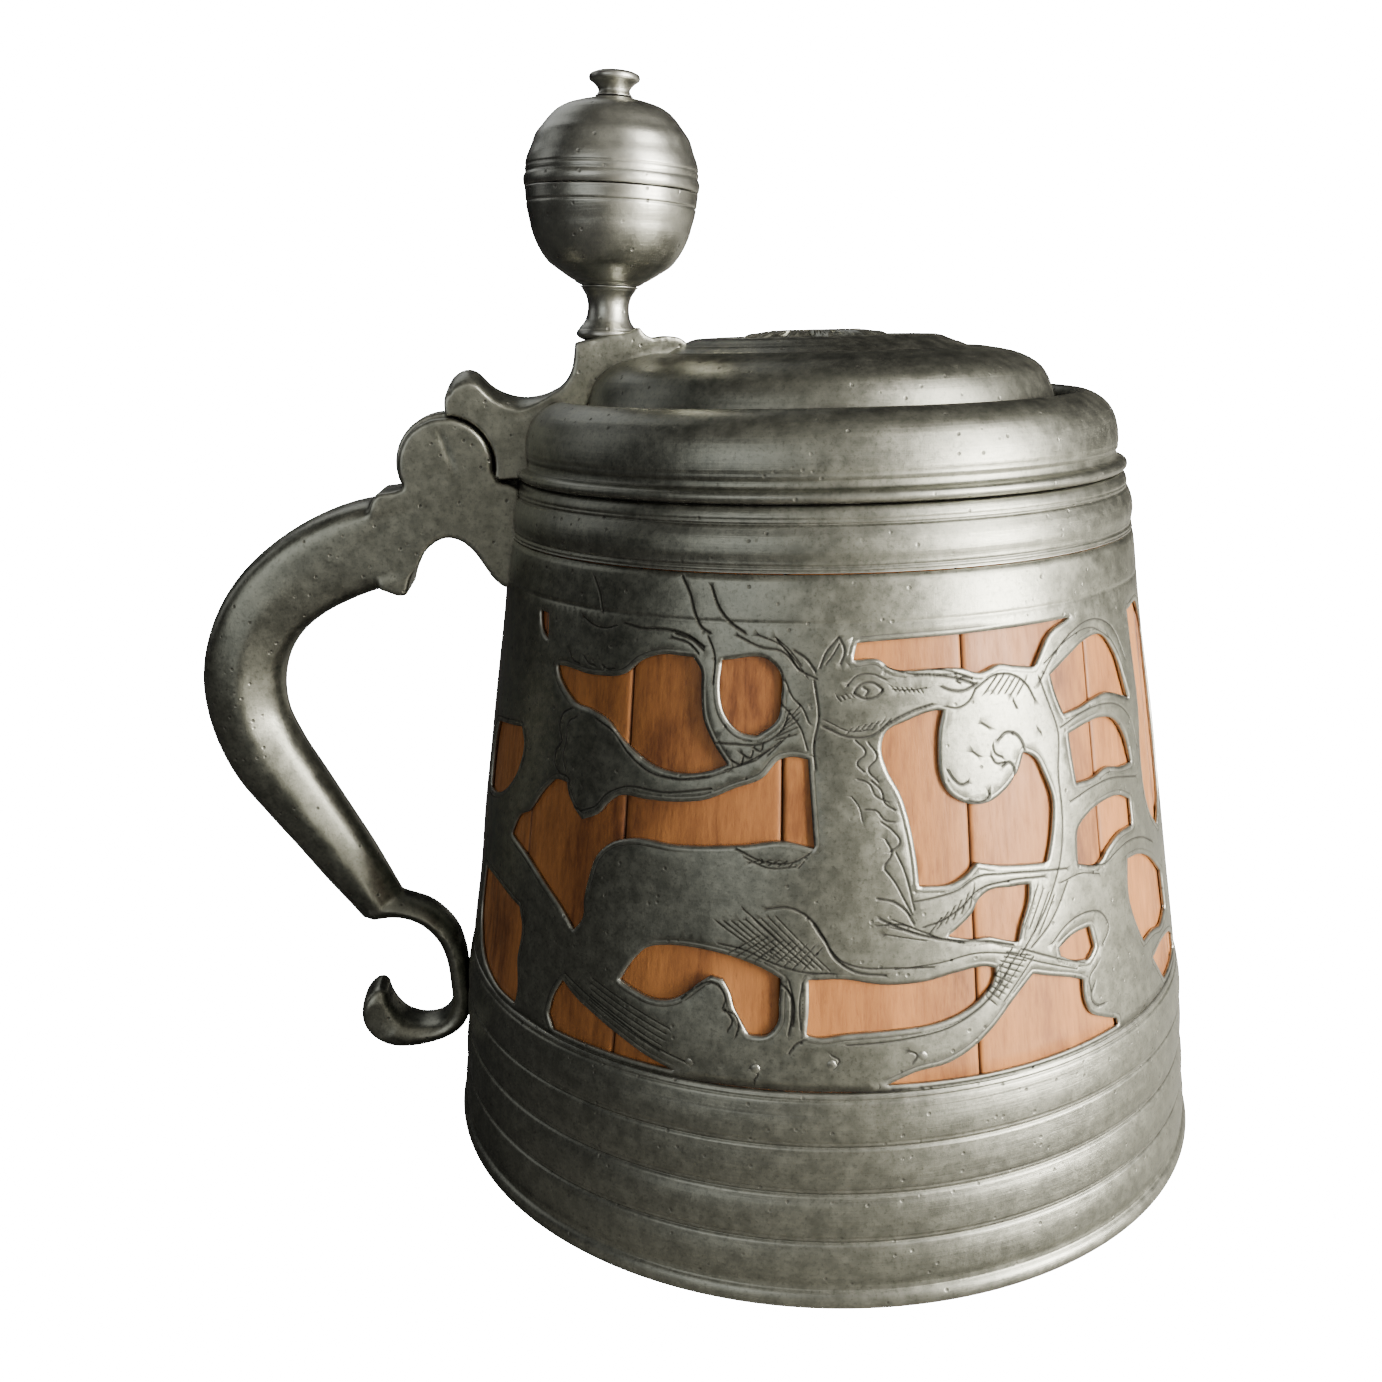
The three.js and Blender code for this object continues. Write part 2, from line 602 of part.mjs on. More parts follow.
function lidStrap() {
  const side = new THREE.Shape(STRAP_SIDE.map(([distance, z]) => new THREE.Vector2(distance, z)));
  const topOutline = [...STRAP_TOP, ...STRAP_TOP.map(([x, y]) => [x, -y]).reverse()];
  const top = new THREE.Shape(topOutline.map(([x, y]) => new THREE.Vector2(x, y)));
  const topPrism = new THREE.ExtrudeGeometry(top, { depth: 60, bevelEnabled: false }).translate(0, 0, 125);
  const knuckleZone = hingeBar(KNUCKLE_RADIUS, -KNUCKLE_HALF_WIDTH, KNUCKLE_HALF_WIDTH);
  const web = new THREE.BoxGeometry(16, 2 * KNUCKLE_HALF_WIDTH, 11).translate(HINGE_X + 8, 0, HINGE_Z + 3);
  const clearance = EAR_RADIUS + 1.5 * GAP;
  const frontEar = hingeBar(clearance, -2 * EAR_OUTSIDE, -KNUCKLE_HALF_WIDTH);
  const backEar = hingeBar(clearance, KNUCKLE_HALF_WIDTH, 2 * EAR_OUTSIDE);
  // Left of the curl and below it, only the knuckle between the ears is left.
  const behind = new THREE.BoxGeometry(20, 4 * EAR_OUTSIDE, 30).translate(-85.2, 0, 139.9);
  const below = new THREE.BoxGeometry(22, 4 * EAR_OUTSIDE, 20).translate(HINGE_X + 0.2, 0, 131.3);
  const bore = hingeBar(PIN_RADIUS + GAP, -EAR_OUTSIDE, EAR_OUTSIDE, PIN_SIDES);
  let strap = toSolid(plate(side, STRAP_HALF_WIDTH)).intersect(toSolid(topPrism));
  strap = strap.subtract(toSolid(frontEar)).subtract(toSolid(backEar));
  strap = strap.subtract(toSolid(behind)).subtract(toSolid(below));
  strap = strap.add(toSolid(knuckleZone)).add(toSolid(web));
  return toGeometry(strap.subtract(lidEnvelope()).subtract(toSolid(bore)));
}

/** Turns a thumbpiece part about its own axis at the pedestal, then leans it. */
function leaned(geometry) {
  geometry.translate(0, 0, -THUMB_FOOT_Z);
  geometry.rotateY(THUMB_LEAN);
  return geometry.translate(THUMB_X, 0, THUMB_FOOT_Z);
}

/** The waisted stem, cut off level with the pedestal's sloping top. */
function thumbStem() {
  const stem = turned([[0, 166], [6.3, 166], [6.2, 169.8], [5, 171.4], [4.1, 174.8], [4.6, 176.6], [6.1, 178.3],
    [0, 178.3]], THUMB_FACETS);
  const pedestal = new THREE.BoxGeometry(40, 40, 10).translate(0, 0, -5 + GAP);
  pedestal.rotateY(-PEDESTAL_SLOPE);
  pedestal.translate(THUMB_X, 0, 167.9 + (49.1 + THUMB_X) * Math.tan(PEDESTAL_SLOPE));
  return toGeometry(toSolid(leaned(stem)).subtract(toSolid(pedestal)));
}

// Outside of the hollow ball, upwards: a flared foot, a full belly, and a flattened crown.
const BALL_LOWER_OUTSIDE = [
  [6.1, 178.6],
  [9.4, 180.6],
  [12.2, 182.5],
  [15.2, 187.2],
  [16.9, 193.4],
  [17.25, BALL_SEAM_Z - GAP / 2],
];
const BALL_UPPER_OUTSIDE = [
  [17.3, BALL_SEAM_Z + GAP / 2],
  [17.2, 199.4],
  [16.2, 203.6],
  [13.8, 208],
  [11, 210.8],
  [5.6, 213],
  [3.8, 213.3],
];

/** The same form one wall thickness further in, about the ball's middle. */
function ballInside(outside) {
  const middle = (BALL_LOWER_OUTSIDE[0][1] + BALL_UPPER_OUTSIDE[6][1]) / 2;
  const shrink = 1 - BALL_WALL / BALL_UPPER_OUTSIDE[0][0];
  return outside.map(([radius, z]) => [radius * shrink, middle + (z - middle) * shrink]).reverse();
}

/** Lower half of the hollow ball: a cup on a flared foot. */
function ballLower() {
  const seam = BALL_LOWER_OUTSIDE[5];
  const inside = ballInside(BALL_LOWER_OUTSIDE.slice(2, 5));
  const floor = inside[inside.length - 1][1];
  const outside = [[0, BALL_LOWER_OUTSIDE[0][1]], ...BALL_LOWER_OUTSIDE];
  return leaned(turned([...outside, [seam[0] - BALL_WALL, seam[1]], ...inside, [0, floor]], THUMB_FACETS));
}

/** Upper half of the hollow ball: a cap with a flat spot for the button. */
function ballUpper() {
  const seam = BALL_UPPER_OUTSIDE[0];
  const crown = BALL_UPPER_OUTSIDE[6][1];
  const inside = ballInside(BALL_UPPER_OUTSIDE.slice(1, 5));
  const roof = inside[0][1];
  const outside = [...BALL_UPPER_OUTSIDE, [0, crown]];
  return leaned(turned([[0, roof], ...inside, [seam[0] - BALL_WALL, seam[1]], ...outside], THUMB_FACETS));
}

/** The little waisted button on top. */
function ballButton() {
  const low = BALL_UPPER_OUTSIDE[6][1] + GAP;
  return leaned(turned([[0, low], [3.7, low], [3.1, 214.6], [3.6, 215.4], [5, 216.8], [4.9, 218], [0, 218.4]],
    THUMB_FACETS));
}

// ---------------------------------------------------------------- assembly

/** A named mesh. */
function piece(name, geometry, material) {
  const mesh = new THREE.Mesh(geometry, material);
  mesh.name = name;
  return mesh;
}

const twoDigits = (number) => String(number).padStart(2, '0');
const holes = friezePinHoles();

const body = new THREE.Group();
staves(holes).forEach((stave, i) => body.add(piece(`stave_${twoDigits(i + 1)}`, stave, maple)));
body.add(piece('bottom_board', bottomBoard(), pitchedWood));
body.add(piece('foot_band', footBand(), pewter));
body.add(piece('upper_band', upperBand(), pewter));
body.add(piece('frieze', frieze(holes), pewter));
friezePins().forEach((pin, i) => body.add(piece(`frieze_pin_${i + 1}`, pin, darkPewter)));
body.add(piece('handle', handle(), pewter));
body.add(piece('hinge_pin', hingePin(), iron));

const lidGroup = new THREE.Group();
lidGroup.add(piece('lid', lid(), pewter));
lidGroup.add(piece('lid_medallion', medallion(), darkPewter));
lidGroup.add(piece('lid_strap', lidStrap(), pewter));
lidGroup.add(piece('thumb_stem', thumbStem(), pewter));
lidGroup.add(piece('ball_lower', ballLower(), pewter));
lidGroup.add(piece('ball_upper', ballUpper(), pewter));
lidGroup.add(piece('ball_button', ballButton(), pewter));

const tankard = new THREE.Group();
tankard.add(body, lidGroup);

export default tankard;
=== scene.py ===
# %% [markdown]
# # A lidded stave tankard
# A bucket of tapering wooden staves is held by a pewter foot band, an openwork pewter frieze and an upper
# band. A pewter handle carries the hinge of a stepped pewter lid with a ball thumbpiece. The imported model
# gives the bodies and the places; here each piece is made again as a dense surface with its real finish.

# %% Load the fixed frame
import json
import math

import bpy
import numpy as np
from mathutils import Matrix, Vector
from mathutils.geometry import delaunay_2d_cdt

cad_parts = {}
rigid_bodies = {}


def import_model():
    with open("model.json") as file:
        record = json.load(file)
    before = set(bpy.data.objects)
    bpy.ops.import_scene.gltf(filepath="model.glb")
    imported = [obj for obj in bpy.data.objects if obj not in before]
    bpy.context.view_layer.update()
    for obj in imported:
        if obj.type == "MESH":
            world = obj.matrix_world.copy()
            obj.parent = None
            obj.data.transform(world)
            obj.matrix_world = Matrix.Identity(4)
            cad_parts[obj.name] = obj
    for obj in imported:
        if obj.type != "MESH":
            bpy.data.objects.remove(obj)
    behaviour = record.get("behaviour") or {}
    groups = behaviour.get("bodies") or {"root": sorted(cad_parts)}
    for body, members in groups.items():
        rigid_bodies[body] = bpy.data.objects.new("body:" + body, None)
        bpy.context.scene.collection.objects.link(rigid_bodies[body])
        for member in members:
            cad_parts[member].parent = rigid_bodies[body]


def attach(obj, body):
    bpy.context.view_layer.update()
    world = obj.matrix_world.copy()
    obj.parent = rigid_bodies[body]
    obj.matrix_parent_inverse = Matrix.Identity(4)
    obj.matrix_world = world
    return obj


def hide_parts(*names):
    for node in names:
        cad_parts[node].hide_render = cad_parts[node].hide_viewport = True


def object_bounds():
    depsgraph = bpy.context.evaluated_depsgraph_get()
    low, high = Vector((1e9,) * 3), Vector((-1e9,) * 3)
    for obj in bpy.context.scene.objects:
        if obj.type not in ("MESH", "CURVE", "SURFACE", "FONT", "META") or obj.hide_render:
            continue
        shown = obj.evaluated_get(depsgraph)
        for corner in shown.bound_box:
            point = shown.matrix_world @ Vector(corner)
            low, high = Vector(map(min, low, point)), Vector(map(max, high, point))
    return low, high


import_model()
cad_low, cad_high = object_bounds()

MM = 0.001  # every length below is in millimetres until it goes into a mesh
print("frame", [round(x / MM, 1) for x in cad_low], [round(x / MM, 1) for x in cad_high])

# %% [markdown]
# ## Camera, floor and light
# The tankard stands close to the eye and a little below it, so the camera is near, with a moderate lens,
# and looks down by fifteen degrees. Its axes come from a yaw, a pitch and a small roll.

# %% Camera
CAMERA_PLACE = (-50.55, -286.7, 170.8)
CAMERA_YAW, CAMERA_PITCH, CAMERA_ROLL = math.radians(4.62), math.radians(15.0), math.radians(-1.45)
CAMERA_LENS = 35.74


def camera_axes(yaw, pitch, roll):
    """Forward is yawed from +Y towards +X and pitched down; right is level before the roll."""
    forward = Vector((math.sin(yaw) * math.cos(pitch), math.cos(yaw) * math.cos(pitch), -math.sin(pitch)))
    level = Vector((math.cos(yaw), -math.sin(yaw), 0))
    upright = level.cross(forward)
    right = math.cos(roll) * level + math.sin(roll) * upright
    up = math.cos(roll) * upright - math.sin(roll) * level
    return Matrix((right, up, -forward)).transposed()


camera_data = bpy.data.cameras.new("camera")
camera_data.lens = CAMERA_LENS
camera_data.sensor_width = 36
camera = bpy.data.objects.new("camera", camera_data)
camera.matrix_world = (Matrix.Translation(Vector(CAMERA_PLACE) * MM)
                       @ camera_axes(CAMERA_YAW, CAMERA_PITCH, CAMERA_ROLL).to_4x4())
bpy.context.scene.collection.objects.link(camera)
bpy.context.scene.camera = camera
print("camera", [round(x, 3) for x in camera.location])


# %% Node helpers
def node(tree, kind, inputs=None, **settings):
    """A shader node of one kind with its settings, and with values or links on its inputs."""
    made = tree.nodes.new("ShaderNode" + kind)
    for key, value in settings.items():
        setattr(made, key, value)
    for key, value in (inputs or {}).items():
        if isinstance(value, bpy.types.NodeSocket):
            tree.links.new(value, made.inputs[key])
        else:
            made.inputs[key].default_value = value
    return made


def calculate(tree, operation, *values, clamp=False):
    """One Math node, as a socket."""
    return node(tree, "Math", dict(enumerate(values)), operation=operation, use_clamp=clamp).outputs[0]


def ramp(tree, value, low, high, to_low=0.0, to_high=1.0):
    """A smooth step of value between low and high."""
    made = node(tree, "MapRange", {"Value": value, "From Min": low, "From Max": high, "To Min": to_low,
                                   "To Max": to_high}, interpolation_type="SMOOTHSTEP")
    return made.outputs["Result"]


def blend_colours(tree, factor, first, second, kind="MIX"):
    """One colour over another by a factor, as a socket."""
    made = node(tree, "Mix", data_type="RGBA", blend_type=kind)
    for index, value in ((0, factor), (6, first), (7, second)):
        if isinstance(value, bpy.types.NodeSocket):
            tree.links.new(value, made.inputs[index])
        else:
            made.inputs[index].default_value = value
    return made.outputs[2]


# %% [markdown]
# The main light is a tall soft window on the right in front, in a room that is dim on the left. A low strip
# of it lights the foot, and three weak fills lift the front, the back and the left side. Metal shows its
# surroundings, so the room is a smooth change of grey over the sky rather than one even colour.

# %% Room
WINDOW_DIRECTION = (0.62, -0.74, 0.26)


def room(dark, bright, backdrop):
    """The sky's grey by direction: dark on the left, brighter towards the window, white to the eye."""
    world = bpy.data.worlds.new("room")
    bpy.context.scene.world = world
    world.use_nodes = True
    tree = world.node_tree
    tree.nodes.clear()
    direction = node(tree, "TexCoord").outputs["Generated"]
    facing = node(tree, "VectorMath", {0: direction, 1: WINDOW_DIRECTION}, operation="DOT_PRODUCT")
    grey = ramp(tree, facing.outputs["Value"], -0.35, 0.95)
    colour = blend_colours(tree, grey, dark, bright)
    dim = node(tree, "Background", {"Color": colour, "Strength": 1.0})
    white = node(tree, "Background", {"Color": (1, 1, 1, 1), "Strength": backdrop})
    seen = node(tree, "LightPath").outputs["Is Camera Ray"]
    mixed = node(tree, "MixShader", {0: seen, 1: dim.outputs[0], 2: white.outputs[0]})
    node(tree, "OutputWorld", {"Surface": mixed.outputs[0]})
    return world


room((0.006, 0.007, 0.007, 1), (0.46, 0.45, 0.41, 1), 30.0)


def soft_box(name, azimuth, elevation, distance, width, height, watts, colour=(1, 1, 1), aim=(0, 0, 0.1)):
    """A rectangular light on a sphere round the tankard, facing the point aim."""
    a, e = math.radians(azimuth), math.radians(elevation)
    place = Vector(aim) + distance * Vector(
        (math.cos(a) * math.cos(e), math.sin(a) * math.cos(e), math.sin(e)))
    light = bpy.data.lights.new(name, "AREA")
    light.shape = "RECTANGLE"
    light.size, light.size_y, light.energy, light.color = width, height, watts, colour
    lamp = bpy.data.objects.new(name, light)
    lamp.location = place
    lamp.rotation_euler = (place - Vector(aim)).to_track_quat("Z", "Y").to_euler()
    bpy.context.scene.collection.objects.link(lamp)
    return lamp


soft_box("window", -36, 17, 1.5, 0.6, 1.4, 62, (1.0, 0.98, 0.925))
soft_box("low_window", -40, 5, 0.8, 0.3, 0.12, 9.0, (1.0, 0.97, 0.9), (0, 0, 0.06))
soft_box("front_fill", -126, 13, 1.7, 1.0, 0.9, 4.3, (0.93, 0.98, 1.0))
soft_box("back_fill", 118, 44, 1.6, 1.0, 1.0, 3.0, (0.95, 0.98, 1.0))
soft_box("side_fill", 165, 24, 1.5, 0.6, 0.9, 1.2, (0.95, 0.98, 1.0))

# %% Floor
FLOOR_RADIUS = 6.0


def pale_floor():
    """A round floor at the lowest height of the model; seen directly, it brightens into the backdrop. Its
    colour is painted shade on the left: near black there, pale on the right.
    """
    angle = np.arange(96) * 2 * np.pi / 96
    edge = np.column_stack([FLOOR_RADIUS * np.cos(angle), FLOOR_RADIUS * np.sin(angle), np.zeros(96)])
    mesh = bpy.data.meshes.new("floor")
    mesh.from_pydata(edge.tolist(), [], [list(range(96))])
    floor = bpy.data.objects.new("floor", mesh)
    bpy.context.scene.collection.objects.link(floor)
    mesh.transform(Matrix.Translation((0, 0, cad_low[2])))
    material = bpy.data.materials.new("pale_floor")
    material.use_nodes = True
    tree = material.node_tree
    tree.nodes.clear()
    place = node(tree, "TexCoord").outputs["Object"]
    side = node(tree, "SeparateXYZ", {0: place}).outputs["X"]
    # Painted shade: the floor's colour runs from near black on the left to pale on the right, so the metal
    # reflects a dark left side.
    floor_colour_with_painted_shade = blend_colours(tree, ramp(tree, side, -0.15, 0.2), (0.05, 0.05, 0.05, 1), (0.76, 0.75, 0.69, 1))
    paint = node(tree, "BsdfPrincipled", {"Base Color": floor_colour_with_painted_shade, "Roughness": 0.8})
    far = node(tree, "VectorMath", {0: place}, operation="LENGTH").outputs["Value"]
    lift = ramp(tree, far, 0.12, 0.9, 0.8, 1.0)
    seen = calculate(tree, "MULTIPLY", node(tree, "LightPath").outputs["Is Camera Ray"], lift)
    white = node(tree, "Emission", {"Color": (1, 1, 1, 1), "Strength": 30.0})
    mixed = node(tree, "MixShader", {0: seen, 1: paint.outputs[0], 2: white.outputs[0]})
    node(tree, "OutputMaterial", {"Surface": mixed.outputs[0]})
    mesh.materials.append(material)
    return floor


pale_floor()
print("floor radius", FLOOR_RADIUS)


# %% [markdown]
# ## Making surfaces
# Everything below is a grid of points worked out at once. Three helpers are enough for most pieces: a
# smooth line through a few chosen points, a grid of faces, and a profile turned about the axis.

# %% Lines and grids
def soft_line(points, step, closed=False, corner=50):
    """A smooth line through points, resampled every step.

    Each stretch is a cubic. Its end slopes lie between the chords before and after the point, nearer to
    the shorter one; where the line turns by more than corner degrees the slope is the stretch's own chord.
    """
    p = np.asarray(points, float)
    chord = np.roll(p, -1, 0) - p if closed else np.diff(p, axis=0)
    length = np.linalg.norm(chord, axis=1)
    unit = chord / length[:, None]
    before, after = np.roll(unit, 1, 0), unit
    length_before = np.roll(length, 1)
    if not closed:
        before, after = np.vstack([unit[:1], unit]), np.vstack([unit, unit[-1:]])
        length_before = np.append(length[:1], length)
    length_after = length if closed else np.append(length, length[-1:])
    slope = before * length_after[:, None] + after * length_before[:, None]
    slope /= np.maximum(np.linalg.norm(slope, axis=1), 1e-9)[:, None]
    sharp = np.einsum("ij,ij->i", before, after) < math.cos(math.radians(corner))
    out = []
    for i, (start, along, size) in enumerate(zip(p, unit, length)):
        j = (i + 1) % len(p)
        first = (along if sharp[i] else slope[i]) * size
        second = (along if sharp[j] else slope[j]) * size
        t = (np.arange(max(1, round(size / step))) / max(1, round(size / step)))[:, None]
        out.append((1 + 2 * t) * (1 - t) ** 2 * start + t * (1 - t) ** 2 * first
                   + t * t * (3 - 2 * t) * p[j] + t * t * (t - 1) * second)
    if not closed:
        out.append(p[-1:])
    return np.vstack(out)


def grid_faces(rows, columns, close_rows=False, close_columns=True):
    """Quads over points numbered row by row, joined up across the ends where asked."""
    i = np.arange(rows if close_rows else rows - 1)[:, None]
    j = np.arange(columns if close_columns else columns - 1)[None, :]
    next_i, next_j = (i + 1) % rows, (j + 1) % columns
    corners = [i * columns + j, i * columns + next_j, next_i * columns + next_j, next_i * columns + j]
    return np.stack([np.broadcast_to(c, (len(i), j.shape[1])).ravel() for c in corners], axis=1)


def six_volumes(points, faces):
    """Six times the volume inside: the sum over triangles of corner . (corner x corner)."""
    total = 0.0
    for group in faces:
        for k in range(1, group.shape[1] - 1):
            a, b, c = points[group[:, 0]], points[group[:, k]], points[group[:, k + 1]]
            total += np.einsum("ij,ij->", a, np.cross(b, c))
    return total


def make_mesh(name, points, faces, flat_groups=()):
    """A mesh object from points in millimetres and groups of faces, turned to face outwards."""
    if six_volumes(points, faces) < 0:
        faces = [group[:, ::-1] for group in faces]
    sizes = np.concatenate([np.full(len(g), g.shape[1]) for g in faces])
    smooth = np.concatenate([np.full(len(g), k not in flat_groups) for k, g in enumerate(faces)])
    mesh = bpy.data.meshes.new(name)
    mesh.vertices.add(len(points))
    mesh.vertices.foreach_set("co", (points * MM).astype(np.float32).ravel())
    mesh.loops.add(int(sizes.sum()))
    mesh.loops.foreach_set("vertex_index", np.concatenate([g.ravel() for g in faces]).astype(np.int32))
    mesh.polygons.add(len(sizes))
    mesh.polygons.foreach_set("loop_start", np.concatenate([[0], np.cumsum(sizes)[:-1]]).astype(np.int32))
    mesh.polygons.foreach_set("use_smooth", smooth)
    mesh.update(calc_edges=True)
    mesh.validate()
    made = bpy.data.objects.new(name, mesh)
    bpy.context.scene.collection.objects.link(made)
    return made


def turned(profile, count, poles=False, swell=None):
    """A profile of (radius, z) carried round the Z axis: x = r cos t, y = r sin t.

    With poles the profile runs from the axis back to the axis; without, it is a loop, a wall with an
    inside. swell(t, z) is added to the radius, so that old metal isn't perfectly round.
    """
    t = np.arange(count) * 2 * np.pi / count
    rows = profile[1:-1] if poles else profile
    z = np.repeat(rows[:, 1:], count, axis=1)
    r = np.repeat(rows[:, :1], count, axis=1)
    if swell is not None:
        r = r + swell(t[None, :], z)
    points = np.stack([r * np.cos(t), r * np.sin(t), z], axis=-1).reshape(-1, 3)
    faces = [grid_faces(len(rows), count, close_rows=not poles)]
    if poles:
        low, high = len(points), len(points) + 1
        points = np.vstack([points, [0, 0, profile[0, 1]], [0, 0, profile[-1, 1]]])
        j = np.arange(count)
        k, last = (j + 1) % count, (len(rows) - 1) * count
        faces.append(np.column_stack([np.full(count, low), k, j]))
        faces.append(np.column_stack([np.full(count, high), last + j, last + k]))
    return points, faces


def slow_swell(seed, size, round_most=9, tall=0.05, sink=0.0):
    """Soft dents, less sink: a mean of cosines, whole waves round the piece and slow ones up it."""
    draw = np.random.default_rng(seed)
    waves = np.column_stack([draw.integers(2, round_most, 14), draw.uniform(-tall, tall, 14),
                             draw.uniform(0, 2 * np.pi, 14)])

    def swell(t, z):
        return size * sum(np.cos(a * t + b * z + c) for a, b, c in waves) / math.sqrt(len(waves)) - sink

    return swell


# %% [markdown]
# Old pewter is bright where hands and cloths rub it and dark where they don't reach. Both follow from how
# the surface bends, so every pewter mesh gets two attributes measured on itself.

# %% Wear from the shape
def mark_wear(piece, gain=1.0, spread=2):
    """worn and grimy: how far a vertex stands above or below the mean of its neighbours, over their distance.

    The bend is averaged with the neighbours a few times, then its positive part is worn, its negative grimy.
    """
    mesh = piece.data
    count = len(mesh.vertices)
    co = np.empty(count * 3, np.float32)
    mesh.vertices.foreach_get("co", co)
    normal = np.empty(count * 3, np.float32)
    mesh.vertices.foreach_get("normal", normal)
    co, normal = co.reshape(-1, 3), normal.reshape(-1, 3)
    ends = np.empty(len(mesh.edges) * 2, np.int32)
    mesh.edges.foreach_get("vertices", ends)
    a, b = ends.reshape(-1, 2).T
    a, b = np.append(a, b), np.append(b, a)
    degree = np.maximum(np.bincount(a, minlength=count), 1)

    def mean(values):
        return np.stack([np.bincount(a, values[b, k], count)
                         for k in range(values.shape[1])], 1) / degree[:, None]

    reach = np.bincount(a, np.linalg.norm(co[a] - co[b], axis=1), count) / degree
    bend = (np.einsum("ij,ij->i", co - mean(co), normal) / np.maximum(reach, 1e-6))[:, None]
    for _ in range(spread):
        bend = 0.5 * bend + 0.5 * mean(bend)
    bend = gain * bend[:, 0]
    for name, value in (("worn", np.clip(bend, 0, 1)), ("grimy", np.clip(-bend, 0, 1))):
        layer = mesh.attributes.new(name, "FLOAT", "POINT")
        layer.data.foreach_set("value", value.astype(np.float32))
    return bend


def place_piece(piece, body, slot, material, *nodes):
    """The piece gets its finish, rides on its body and stands for its nodes."""
    if material.name not in [m.name for m in piece.data.materials if m]:
        piece.data.materials.append(material)
    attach(piece, body)
    if nodes:
        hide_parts(*nodes)
    print(piece.name, len(piece.data.polygons), "faces on", body)
    return piece


# %% [markdown]
# ## Finishes
# Aged pewter is a dull grey metal with a warm cast. Cast and turned surfaces differ only in how strongly
# the lathe's lines, the pits and the soft cloudy tarnish show, so one node group serves every piece.

# %% Aged pewter group
def new_group(name, inputs, outputs):
    """A shader node group with named sockets, and its input and output nodes."""
    group = bpy.data.node_groups.new(name, "ShaderNodeTree")
    for label, kind, default in inputs:
        socket = group.interface.new_socket(label, in_out="INPUT", socket_type="NodeSocket" + kind)
        if default is not None:
            socket.default_value = default
    for label, kind in outputs:
        group.interface.new_socket(label, in_out="OUTPUT", socket_type="NodeSocket" + kind)
    return group, group.nodes.new("NodeGroupInput").outputs, group.nodes.new("NodeGroupOutput").inputs


def noise(tree, place, scale, detail=4.0, roughness=0.55, distortion=0.0):
    """The grey of a noise texture, as a socket."""
    made = node(tree, "TexNoise", {"Vector": place, "Scale": scale, "Detail": detail, "Roughness": roughness,
                                   "Distortion": distortion})
    return made.outputs["Fac"]


def stretched(tree, place, scale):
    """The coordinates multiplied axis by axis."""
    return node(tree, "VectorMath", {0: place, 1: scale}, operation="MULTIPLY").outputs[0]


